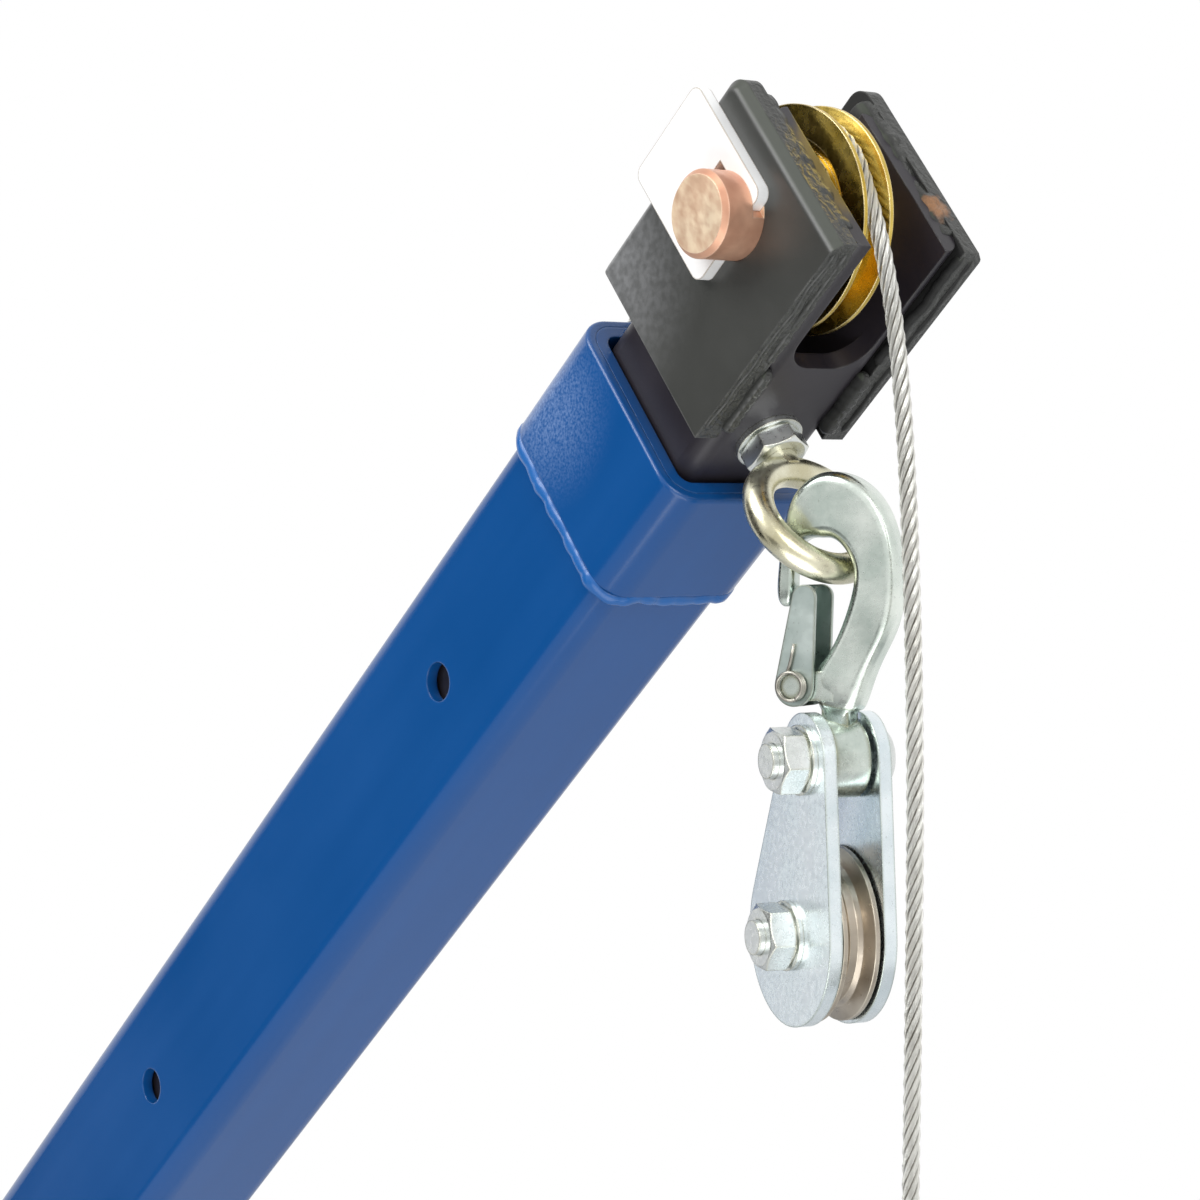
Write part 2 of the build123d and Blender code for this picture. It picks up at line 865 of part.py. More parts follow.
def nut_y(across, y0, y1):
    """Hexagon nut with the corners of both faces chamfered."""
    corner = across / math.sqrt(3)
    face = nut_face_share * across
    barrel = turned(
        [
            (0, y0),
            (face, y0),
            (corner, y0 + nut_chamfer),
            (corner, y1 - nut_chamfer),
            (face, y1),
            (0, y1),
        ]
    )
    return plate_y(hexagon(across), y0, y1) & barrel


def nut_z(across, height):
    return Rot(90, 0, 0) * nut_y(across, 0, height)


# Eye bolt
def eye_bolt():
    u = boom_length + eye_reach
    ring = Pos(u, 0, eye_ring_centre) * Rot(0, 90, 0) * Torus(eye_ring_radius, eye_bar / 2)
    top = eye_seat + extension_wall + eye_inner_nut + eye_thread_end
    return ring + rod_z(eye_thread / 2, eye_ring_centre + eye_ring_radius, top, u)


def eye_bolt_nuts():
    u = boom_length + eye_reach
    bore = eye_thread / 2 + run_gap
    washer_low = eye_seat - eye_washer_thickness
    nut_low = washer_low - eye_outer_nut
    inner_seat = eye_seat + extension_wall
    washer = rod_z(eye_washer_radius, washer_low, eye_seat, u) - rod_z(bore, washer_low, eye_seat, u)
    outer = Pos(u, 0, nut_low) * nut_z(eye_nut_across, eye_outer_nut)
    inner = Pos(u, 0, inner_seat) * nut_z(eye_nut_across, eye_inner_nut)
    ring = Pos(u, 0, eye_ring_centre) * Rot(0, 90, 0) * Torus(eye_ring_radius, eye_bar / 2 + run_gap)
    outer -= rod_z(bore, nut_low, washer_low, u) + ring
    inner -= rod_z(bore, inner_seat, inner_seat + eye_inner_nut, u)
    return [washer, outer, inner]


# Hooks, drawn with the bow up around the bar that they hang on
def hook_section(x, z, angle, width, thickness):
    outward = Vector(math.cos(math.radians(angle)), 0, math.sin(math.radians(angle)))
    corner = hook_corner_share * min(width, thickness) / 2
    plane = Plane(origin=(x, 0, z), x_dir=outward, z_dir=outward.cross(Vector(0, 1, 0)))
    return plane * RectangleRounded(width, thickness, corner)


def hook_body():
    """Forged hook drawn through its sections, with the lug and rivet of its latch."""
    half = hook_thickness / 2
    body = loft([hook_section(*row) for row in hook_sections])
    low, high = latch_z - latch_lug_radius, latch_z + latch_lug_radius
    body += rod_y(latch_lug_radius, -half, half, latch_x, latch_z)
    body += span(latch_x, hook_neck_x, -half, half, low, high)
    reach = half + latch_gap + latch_sheet + rivet_stand
    body += rod_y(rivet_diameter / 2, -reach, reach, latch_x, latch_z)
    body += rod_y(rivet_head_radius, reach, reach + rivet_head_height, latch_x, latch_z)
    return body + rod_y(rivet_head_radius, -reach - rivet_head_height, -reach, latch_x, latch_z)


def hook_latch():
    """Folded sheet that closes the throat, its two flanges riveted to the hook's lug."""
    inner = hook_thickness / 2 + latch_gap
    outer = inner + latch_sheet
    pivot_radius = latch_lug_radius + latch_gap + latch_sheet
    outline = hull((latch_x, latch_z, pivot_radius), (latch_top_x, latch_top_z, latch_top_radius))
    hollow = hull(
        (latch_x + latch_sheet, latch_z, pivot_radius),
        (latch_top_x + latch_sheet, latch_top_z, latch_top_radius),
        (latch_back, latch_z, pivot_radius),
        (latch_back, latch_top_z + latch_top_radius, latch_top_radius),
    )
    latch = plate_y(outline, -outer, outer) - plate_y(hollow, -inner, inner)
    return latch - rod_y(rivet_diameter / 2 + run_gap, -outer - 1, outer + 1, latch_x, latch_z)


def hook_neck(low, high):
    half = hook_neck_width / 2
    depth = hook_neck_depth / 2
    return span(hook_neck_x - half, hook_neck_x + half, -depth, depth, low, high)


def block_hook():
    half = hook_eye_thickness / 2
    turn = Rot(0, 0, block_yaw - hook_yaw)
    body = hook_body() + hook_neck(-hook_length + hook_eye_radius - hook_eye_overlap, hook_neck_z)
    body += turn * rod_y(hook_eye_radius, -half, half, 0, -hook_length)
    return body - turn * rod_y(block_bolt / 2 + run_gap, -block_gap, block_gap, 0, -hook_length)


# Hook block, drawn down from the bolt that it hangs on
block_axle = -block_axle_drop
cheek_in = block_gap / 2
cheek_out = cheek_in + block_cheek_thickness


def block_cheek(y0):
    outline = hull((0, 0, cheek_top_radius), (0, block_axle, cheek_bottom_radius))
    cheek = plate_y(outline, y0, y0 + block_cheek_thickness)
    for z in (0, block_axle):
        cheek -= rod_y(block_bolt / 2 + run_gap, y0 - 1, y0 + block_cheek_thickness + 1, 0, z)
    return cheek


def block_bolts():
    end = -cheek_out - block_washer_thickness - block_nut_height - block_bolt_end
    bolts = []
    for z in (0, block_axle):
        head = rod_y(block_head_radius, cheek_out, cheek_out + block_head_height, 0, z)
        head = fillet(head.faces().sort_by(Axis.Y)[-1].edges(), block_head_round)
        bolts.append(head + rod_y(block_bolt / 2, end, cheek_out, 0, z))
    return bolts


def block_nuts():
    nuts = []
    washer_y = -cheek_out - block_washer_thickness
    nut_low = washer_y - block_nut_height
    for z in (0, block_axle):
        bore = rod_y(block_bolt / 2 + run_gap, nut_low - 1, 0, 0, z)
        washer = rod_y(block_washer_radius, washer_y, -cheek_out, 0, z)
        nut = Pos(0, 0, z) * nut_y(block_nut_across, nut_low, washer_y)
        nuts += [washer - bore, nut - bore]
    return nuts


def block_sheave():
    bore = block_bolt + 2 * run_gap
    width, rim = block_sheave_width, block_sheave_rim
    wheel = grooved_wheel(block_sheave_diameter, width, block_sheave_groove, rim, bore)
    return Pos(0, 0, block_axle) * wheel


# Winch
gear_pitch = gear_module * gear_teeth / 2
pinion_pitch = gear_module * pinion_teeth / 2
drum_axis = (
    winch_station,
    boom_top + winch_wall + winch_foot_gap + gear_pitch + tooth_addendum,
)
pinion_reach = polar(gear_pitch + pinion_pitch, pinion_angle)
pinion_axis = (drum_axis[0] + pinion_reach[0], drum_axis[1] + pinion_reach[1])
pawl_reach = polar(pawl_radius, pawl_angle)
pawl_axis = (drum_axis[0] + pawl_reach[0], drum_axis[1] + pawl_reach[1])
winch_half = winch_inner_width / 2
winch_outer = winch_half + winch_wall
rope_radius = rope_diameter / 2
winding_radius = winding_core / 2 + seat_gap + rope_radius
wrap_radius = sheave_groove / 2 + seat_gap + rope_radius


def winch_bolt_places():
    return [
        (winch_station + du, dw)
        for du in (-winch_bolt_spread / 2, winch_bolt_spread / 2)
        for dw in (-winch_bolt_gauge / 2, winch_bolt_gauge / 2)
    ]


def winch_frame():
    half = winch_length / 2
    rear, front = winch_station - half, winch_station + half
    frame = span(rear, front, -winch_outer, winch_outer, boom_top, boom_top + winch_wall)
    outline = hull(
        (rear + frame_corner, boom_top + frame_corner, frame_corner),
        (front - frame_corner, boom_top + frame_corner, frame_corner),
        (*drum_axis, drum_boss),
        (*pinion_axis, pinion_boss),
        (*pawl_axis, pawl_boss),
    )
    for y0 in (-winch_outer, winch_half):
        frame += plate_y(outline, y0, y0 + winch_wall)
    frame -= rod_y(drum_axle_diameter / 2 + run_gap, -winch_outer - 1, winch_outer + 1, *drum_axis)
    frame -= rod_y(crank_shaft_diameter / 2 + run_gap, -winch_outer - 1, winch_outer + 1, *pinion_axis)
    for u, w in winch_bolt_places():
        frame -= rod_z(winch_bolt / 2 + run_gap, boom_top - 1, boom_top + winch_wall + 1, u, w)
    return frame + rod_y(pawl_pin_diameter / 2, gear_side - 1, winch_outer, *pawl_axis)


def winch_bolts():
    low = boom_top - boom_wall
    seat = boom_top + winch_wall
    bolts = []
    for u, w in winch_bolt_places():
        head = Pos(u, w, seat) * nut_z(winch_bolt_across, winch_bolt_head)
        nut = Pos(u, w, low - winch_bolt_head) * nut_z(winch_bolt_across, winch_bolt_head)
        bolts.append(head + nut + rod_z(winch_bolt / 2, low - winch_bolt_head, seat, u, w))
    return bolts


def drum_axle():
    axle = rod_y(drum_axle_diameter / 2, -winch_outer, winch_outer, *drum_axis)
    for y0 in (-winch_outer - axle_nut_height, winch_outer):
        axle += Pos(drum_axis[0], 0, drum_axis[1]) * nut_y(axle_nut_across, y0, y0 + axle_nut_height)
    return axle


def winch_drum():
    hub_end = -winch_half + side_gap
    drum = rod_y(drum_core / 2, drum_flange_side, gear_side, *drum_axis)
    drum += rod_y(drum_flange / 2, drum_flange_side, drum_flange_side + drum_flange_thickness, *drum_axis)
    drum += rod_y(hub_diameter / 2, hub_end, drum_flange_side, *drum_axis)
    return drum - rod_y(drum_axle_diameter / 2 + run_gap, hub_end, gear_side, *drum_axis)


def gear_outline(teeth, first_tooth):
    pitch = gear_module * teeth / 2
    slope = math.tan(math.radians(tooth_flank))
    pitch_half = tooth_share * math.pi * gear_module / 4
    tip = (pitch + tooth_addendum, pitch_half - tooth_addendum * slope)
    root = (pitch - tooth_dedendum, pitch_half + tooth_dedendum * slope)
    points = []
    for tooth in range(teeth):
        middle = first_tooth + 360 * tooth / teeth
        for (radius, half), side in ((root, -1), (tip, -1), (tip, 1), (root, 1)):
            points.append(polar(radius, middle + math.degrees(side * half / radius)))
    return make_face(Polyline(*points, close=True))


def drum_gear():
    outline = Pos(*drum_axis) * gear_outline(gear_teeth, pinion_angle)
    hub_end = winch_half - side_gap
    gear = plate_y(outline, gear_side, gear_side + gear_width)
    for turn in range(4):
        x, z = polar((hub_diameter / 2 + gear_pitch - tooth_dedendum) / 2, 45 + 90 * turn)
        place = (drum_axis[0] + x, drum_axis[1] + z)
        gear -= rod_y(gear_hole, gear_side - 1, gear_side + gear_width + 1, *place)
    gear += rod_y(hub_diameter / 2, gear_side + gear_width, hub_end, *drum_axis)
    return gear - rod_y(drum_axle_diameter / 2 + run_gap, gear_side, hub_end, *drum_axis)


def pinion_shaft():
    half_tooth = 180 / pinion_teeth
    outline = Pos(*pinion_axis) * gear_outline(pinion_teeth, pinion_angle + 180 + half_tooth)
    middle = gear_side + gear_width / 2
    shaft = plate_y(outline, middle - pinion_width / 2, middle + pinion_width / 2)
    shaft += rod_y(crank_shaft_diameter / 2, -crank_plane, winch_outer + shaft_proud, *pinion_axis)
    outer = -crank_plane - crank_nut_height
    return shaft + Pos(pinion_axis[0], 0, pinion_axis[1]) * nut_y(crank_nut_across, outer, -crank_plane)


# The crank hangs straight down at this elevation of the boom
crank_hang = polar(crank_length, -90 - boom_elevation)
crank_end = (pinion_axis[0] + crank_hang[0], pinion_axis[1] + crank_hang[1])


def crank_arm():
    ends = [(*pinion_axis, crank_width / 2), (*crank_end, crank_end_width / 2)]
    inner = -crank_plane + crank_thickness
    arm = plate_y(hull(*ends), -crank_plane, inner)
    arm -= rod_y(crank_shaft_diameter / 2 + run_gap, -crank_plane - 1, inner + 1, *pinion_axis)
    pin_end = -crank_plane - grip_length - 2 * side_gap
    arm += rod_y(grip_pin_diameter / 2, pin_end, inner, *crank_end)
    return arm + rod_y(grip_pin_diameter / 2 + grip_head_lip, pin_end - grip_head, pin_end, *crank_end)


def crank_grip():
    near = -crank_plane - side_gap
    grip = rod_y(grip_diameter / 2, near - grip_length, near, *crank_end)
    grip = fillet(grip.edges().filter_by(GeomType.CIRCLE), grip_edge)
    return grip - rod_y(grip_pin_diameter / 2 + run_gap, near - grip_length - 1, near + 1, *crank_end)


def pawl():
    """Pawl held just clear of the gear's teeth, its nose over the space between two of them."""
    nose_radius = gear_pitch + tooth_addendum + pawl_clearance + pawl_tip
    swing = (pawl_radius**2 + nose_radius**2 - pawl_length**2) / (2 * pawl_radius * nose_radius)
    nose_angle = pawl_angle - math.degrees(math.acos(swing))
    nose = polar(nose_radius, nose_angle)
    outline = hull(
        (*pawl_axis, pawl_hub),
        (drum_axis[0] + nose[0], drum_axis[1] + nose[1], pawl_tip),
    )
    outline -= Pos(*pawl_axis) * Circle(pawl_pin_diameter / 2 + run_gap)
    return plate_y(outline, gear_side, gear_side + gear_width)


# Rope
def helix_angle(turn):
    return drum_tangent + 360 * (turn - winding_turns)


def helix_point(turn):
    x, z = polar(winding_radius, helix_angle(turn))
    return Vector(drum_axis[0] + x, winding_start + winding_pitch * turn, drum_axis[1] + z)


def helix_tangent(turn):
    x, z = polar(2 * math.pi * winding_radius, helix_angle(turn) + 90)
    return Vector(x, winding_pitch, z).normalized()


def biarc(p0, t0, p1, t1):
    chord = p1 - p0
    both = chord.dot(t0 + t1)
    turn = 2 * (1 - t0.dot(t1))
    reach = chord.dot(chord) / (math.sqrt(both**2 + turn * chord.dot(chord)) + both)
    q0 = p0 + t0 * reach
    q1 = p1 - t1 * reach
    middle = (q0 + q1) * 0.5
    return [TangentArc(p0, middle, tangent=t0), TangentArc(middle, p1, tangent=q1 - q0)]


def crossed_tangent():
    """Where the rope meets the sheave, having left the drum from underneath."""
    dx = head_axle[0] - drum_axis[0]
    dz = head_axle[1] - drum_axis[1]
    lean = math.degrees(math.asin((winding_radius + wrap_radius) / math.hypot(dx, dz)))
    return math.degrees(math.atan2(dz, dx)) + 90 + lean


sheave_tangent = crossed_tangent()
drum_tangent = sheave_tangent - 180


def wound_rope():
    """Inner layers as a plain core, with the outer layer wound over it in one unbroken rope."""
    inside = drum_flange_side + drum_flange_thickness + seat_gap
    core = rod_y(winding_core / 2, inside, gear_side - seat_gap, *drum_axis)
    core -= rod_y(drum_core / 2 + run_gap, drum_flange_side, gear_side, *drum_axis)
    quarters = int(round(4 * winding_turns))
    edges = [Line(helix_point(0) - helix_tangent(0) * rope_diameter, helix_point(0))]
    for quarter in range(quarters):
        a = quarter / 4
        b = (quarter + 1) / 4
        edges += biarc(helix_point(a), helix_tangent(a), helix_point(b), helix_tangent(b))
    return [core, tube_along(Wire(edges), rope_radius)]


def winding_least_gap():
    """Least distance between neighbouring turns of the outer layer, less the rope's diameter."""
    steps = 48
    points = [helix_point(index / steps) for index in range(int(steps * winding_turns) + 1)]
    least = min(
        (points[i] - points[j]).length
        for i in range(0, len(points), 6)
        for j in range(i + steps // 2, len(points))
    )
    return least - rope_diameter


def rope_run():
    start = helix_point(winding_turns)
    x, z = polar(wrap_radius, sheave_tangent)
    end = Vector(head_axle[0] + x, sheave_offset, head_axle[1] + z)
    along = (end - start).normalized()
    line = Plane(origin=start + along * seat_gap, z_dir=along)
    return extrude(line * Circle(rope_radius), (end - start).length - 2 * seat_gap)


def wrap_arc(start_angle, end_angle):
    def place(angle):
        x, z = polar(wrap_radius, angle)
        return Vector(head_axle[0] + x, sheave_offset, head_axle[1] + z)

    return ThreePointArc(place(start_angle), place((start_angle + end_angle) / 2), place(end_angle))


def rope_wrap():
    return tube_along(wrap_arc(sheave_tangent, wrap_split_angle), rope_radius)


def corner_radii(points):
    radii = []
    for before, here, after in zip(points, points[1:], points[2:]):
        turn = (here - before).get_angle(after - here)
        run = min((here - before).length, (after - here).length)
        radii.append(0.45 * run / math.tan(math.radians(turn / 2)))
    return radii


def tail_points():
    leave = polar(wrap_radius, rope_departure)
    places = [leave] + tail_route
    base = head_axle_point + Vector(0, sheave_offset, 0)
    return [base + Vector(forward, 0, rise) for forward, rise in places]


def rope_tail():
    points = tail_points()
    start_angle = wrap_split_angle + boom_elevation
    base = head_axle_point + Vector(0, sheave_offset, 0)

    def place(angle):
        x, z = polar(wrap_radius, angle)
        return base + Vector(x, 0, z)

    arc = ThreePointArc(place(start_angle), place((start_angle + rope_departure) / 2), points[0])
    radii = corner_radii(points)
    print("rope tail radii", [round(radius) for radius in radii])
    hanging = FilletPolyline(*points, radius=radii)
    tail = tube_along(Wire([*arc.edges(), *hanging.edges()]), rope_radius)
    return [tail, rope_end_frame * rope_loop()]


# Rope end, drawn from the foot of the ferrule on the rope's own line
ferrule_foot = tail_route[-1][1] - seat_gap - ferrule_length
rope_end = head_axle_point + Vector(tail_route[-1][0], sheave_offset, ferrule_foot)
rope_end_frame = Location(tuple(rope_end))
loop_x = strand_spacing / 2
loop_radius = thimble_inner + thimble_sheet + seat_gap + rope_radius


def rope_loop():
    """Both strands leave the ferrule straight down and close round the thimble."""
    down = Vector(0, -1)
    middle = Vector(loop_x, -thimble_drop)
    left = middle - Vector(loop_radius, 0)
    right = middle + Vector(loop_radius, 0)
    low = middle - Vector(0, loop_radius)
    strands = [
        *biarc(Vector(0, 0), down, left, down),
        ThreePointArc(left, low, right),
        *biarc(right, -down, Vector(strand_spacing, 0), -down),
    ]
    return tube_along(Plane.XZ.location * Wire(strands), rope_radius)


def rope_ferrule():
    body = Pos(loop_x, 0, 0) * extrude(SlotOverall(ferrule_width, ferrule_depth), ferrule_length)
    return chamfer(body.faces().sort_by(Axis.Z)[-1].edges(), ferrule_edge)


def rope_thimble():
    inner_apex = -thimble_apex_drop - thimble_apex_wall
    round_end = thimble_inner + thimble_sheet
    outer = hull((loop_x, -thimble_drop, round_end), (loop_x, -thimble_apex_drop, thimble_apex))
    inner = hull((loop_x, -thimble_drop, thimble_inner), (loop_x, inner_apex, thimble_inner_apex))
    return plate_y(outer - inner, -thimble_width / 2, thimble_width / 2)


load_seat = -thimble_drop - thimble_inner + load_eye_bar / 2 + load_eye_seat
load_eye_centre = load_seat - load_eye_radius
load_hook_drop = load_eye_radius + load_eye_bar / 2 - hook_neck_z + load_neck
load_frame = rope_end_frame * Location((loop_x, 0, load_eye_centre), (0, 0, 90))
load_hook_place = Location((-hook_neck_x, 0, -load_hook_drop), (180, 0, 0))


def load_hook():
    eye = Rot(90, 0, 0) * Torus(load_eye_radius, load_eye_bar / 2)
    neck = hook_neck(hook_neck_z - load_neck - load_eye_bar, hook_neck_z)
    return load_hook_place * (hook_body() + neck) + eye


parts = {
    "base_plate": base_plate(),
    "base_socket": base_socket(),
    "base_gussets": base_gussets(),
    "swivel_bushes": swivel_bushes(),
    "thrust_washer": thrust_washer(),
    "mast_spindle": mast_spindle(),
    "mast_tube": mast_tube(),
    "mast_cheeks": mast_cheeks(),
    "boom_pivot_pin": boom_pivot_pin(),
    "jack_mast_bracket": jack_mast_bracket(),
    "jack_lower_pin": jack_lower_pin(),
}
jack_parts = {
    "jack_base": jack_base(),
    "jack_cylinder": jack_cylinder(),
    "jack_cap": jack_cap(),
    "release_knob": release_knob(),
    "pump_plunger": pump_plunger(),
    "pump_lever": pump_lever(),
    "pump_handle": pump_handle(),
    "jack_ram": jack_ram(),
}
boom_parts = {
    "boom_tube": boom_tube(),
    "boom_pivot_bush": boom_pivot_bush(),
    "boom_collar": boom_collar(),
    "collar_weld": collar_weld(),
    "boom_jack_bracket": boom_jack_bracket(),
    "jack_upper_pin": jack_upper_pin(),
    "lock_pin": lock_pin(),
    "winch_frame": winch_frame(),
    "winch_bolts": winch_bolts(),
    "drum_axle": drum_axle(),
    "winch_drum": winch_drum(),
    "drum_gear": drum_gear(),
    "wound_rope": wound_rope(),
    "pinion_shaft": pinion_shaft(),
    "crank_arm": crank_arm(),
    "crank_grip": crank_grip(),
    "pawl": pawl(),
    "rope_run": rope_run(),
    "rope_wrap": rope_wrap(),
    "extension_tube": extension_tube(),
    "head_plate_right": head_plate(-head_half, 0),
    "head_plate_left": head_plate(extension_half, -1),
    "head_welds": head_welds(),
    "axle_pin": axle_pin(),
    "keeper_plate": keeper_plate(),
    "head_sheave": head_sheave(),
    "sheave_bush": sheave_bush(),
    "eye_bolt": eye_bolt(),
    "eye_bolt_nuts": eye_bolt_nuts(),
}
hook_parts = {
    "block_hook": block_hook(),
    "block_hook_latch": hook_latch(),
}
block_parts = {
    "block_cheek_near": block_cheek(-cheek_out),
    "block_cheek_far": block_cheek(cheek_in),
    "block_bolts": block_bolts(),
    "block_nuts": block_nuts(),
    "block_sheave": block_sheave(),
}
rope_end_parts = {
    "rope_ferrule": rope_ferrule(),
    "rope_thimble": rope_thimble(),
}
load_parts = {
    "load_hook": load_hook(),
    "load_hook_latch": load_hook_place * hook_latch(),
}

for frame, group in (
    (jack_frame, jack_parts),
    (boom_frame, boom_parts),
    (hook_frame, hook_parts),
    (block_frame, block_parts),
    (rope_end_frame, rope_end_parts),
    (load_frame, load_parts),
):
    for name, shape in group.items():
        solids = shape if isinstance(shape, list) else [shape]
        parts[name] = [frame * solid for solid in solids]
parts["rope_tail"] = rope_tail()

print("winding least gap", round(winding_least_gap(), 2))
os.makedirs("parts", exist_ok=True)
for name, shape in parts.items():
    solids = shape if isinstance(shape, list) else [shape]
    node = solids[0] if len(solids) == 1 else Compound(children=[Part(s.wrapped) for s in solids])
    export_step(node, os.path.join("parts", name + ".step"))
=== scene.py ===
import bpy
import json
import math
from mathutils import Matrix, Vector, noise

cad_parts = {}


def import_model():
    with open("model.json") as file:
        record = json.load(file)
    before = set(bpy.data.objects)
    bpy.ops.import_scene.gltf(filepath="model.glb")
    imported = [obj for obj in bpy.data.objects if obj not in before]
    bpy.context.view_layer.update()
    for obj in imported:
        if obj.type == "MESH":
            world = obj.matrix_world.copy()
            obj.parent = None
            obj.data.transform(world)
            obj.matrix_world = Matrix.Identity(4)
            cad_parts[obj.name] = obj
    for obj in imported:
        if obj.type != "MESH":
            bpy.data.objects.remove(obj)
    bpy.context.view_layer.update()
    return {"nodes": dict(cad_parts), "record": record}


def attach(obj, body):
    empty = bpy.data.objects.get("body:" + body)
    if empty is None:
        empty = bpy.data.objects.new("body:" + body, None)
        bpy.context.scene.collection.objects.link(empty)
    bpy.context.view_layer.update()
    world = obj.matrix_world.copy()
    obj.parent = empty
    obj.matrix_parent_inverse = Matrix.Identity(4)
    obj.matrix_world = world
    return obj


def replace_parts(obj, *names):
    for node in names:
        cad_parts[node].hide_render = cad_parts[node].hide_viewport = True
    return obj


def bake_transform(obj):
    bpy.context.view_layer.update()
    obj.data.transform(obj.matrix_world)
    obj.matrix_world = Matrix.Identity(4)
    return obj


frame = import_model()
nodes = frame["nodes"]
scene = bpy.context.scene
mm = 0.001

# Frames of the model, from the same sizes as the solids
boom_elevation = 39.2
pivot_height = 760.0
lift = math.radians(boom_elevation)
along = Vector((math.cos(lift), 0, math.sin(lift)))
across = Vector((0, 1, 0))
upward = Vector((-math.sin(lift), 0, math.cos(lift)))
pivot = Vector((0, 0, pivot_height)) * mm


def boom(u, w, v):
    """Point of the boom's frame, given in millimetres."""
    return pivot + (along * u + across * w + upward * v) * mm


def polar(radius, angle):
    return radius * math.cos(math.radians(angle)), radius * math.sin(math.radians(angle))


mouth = 1000.0
head_axle = (1072.5, 7.4)
drum_axis = (150.0, 109.4)
rope = 5.0
lay = 28.0
wrap_radius = 27.8
winding_radius = 32.4
winding_turns = 7.75
winding_pitch = 5.5
winding_start = -23.6
sheave_offset = -3.5
inner_layer_radius = 27.0
hook_yaw = 25
hook_length = 53.6
block_yaw = -15
block_lean = 11.6
block_axle_drop = 51.4


# Camera at the photograph's place, found by fitting edges and corners of the boom's head
camera_lens = 102.2645
camera_sensor = 36


def set_camera():
    place = boom(mouth, 0, 0) + along * 0.58019 - across * 0.64100 - upward * 0.52583
    right = along * 0.4653 + across * 0.7916 - upward * 0.3961
    down = along * -0.6289 - across * 0.0194 - upward * 0.7773
    ahead = along * -0.623 + across * 0.6107 + upward * 0.4888
    turn = Matrix((right, -down, -ahead)).transposed().to_4x4()
    camera = bpy.data.objects.new("camera", bpy.data.cameras.new("camera"))
    scene.collection.objects.link(camera)
    camera.matrix_world = Matrix.Translation(place) @ turn
    camera.data.lens = camera_lens
    camera.data.sensor_width = camera_sensor
    camera.data.clip_start = 0.01
    scene.camera = camera


set_camera()


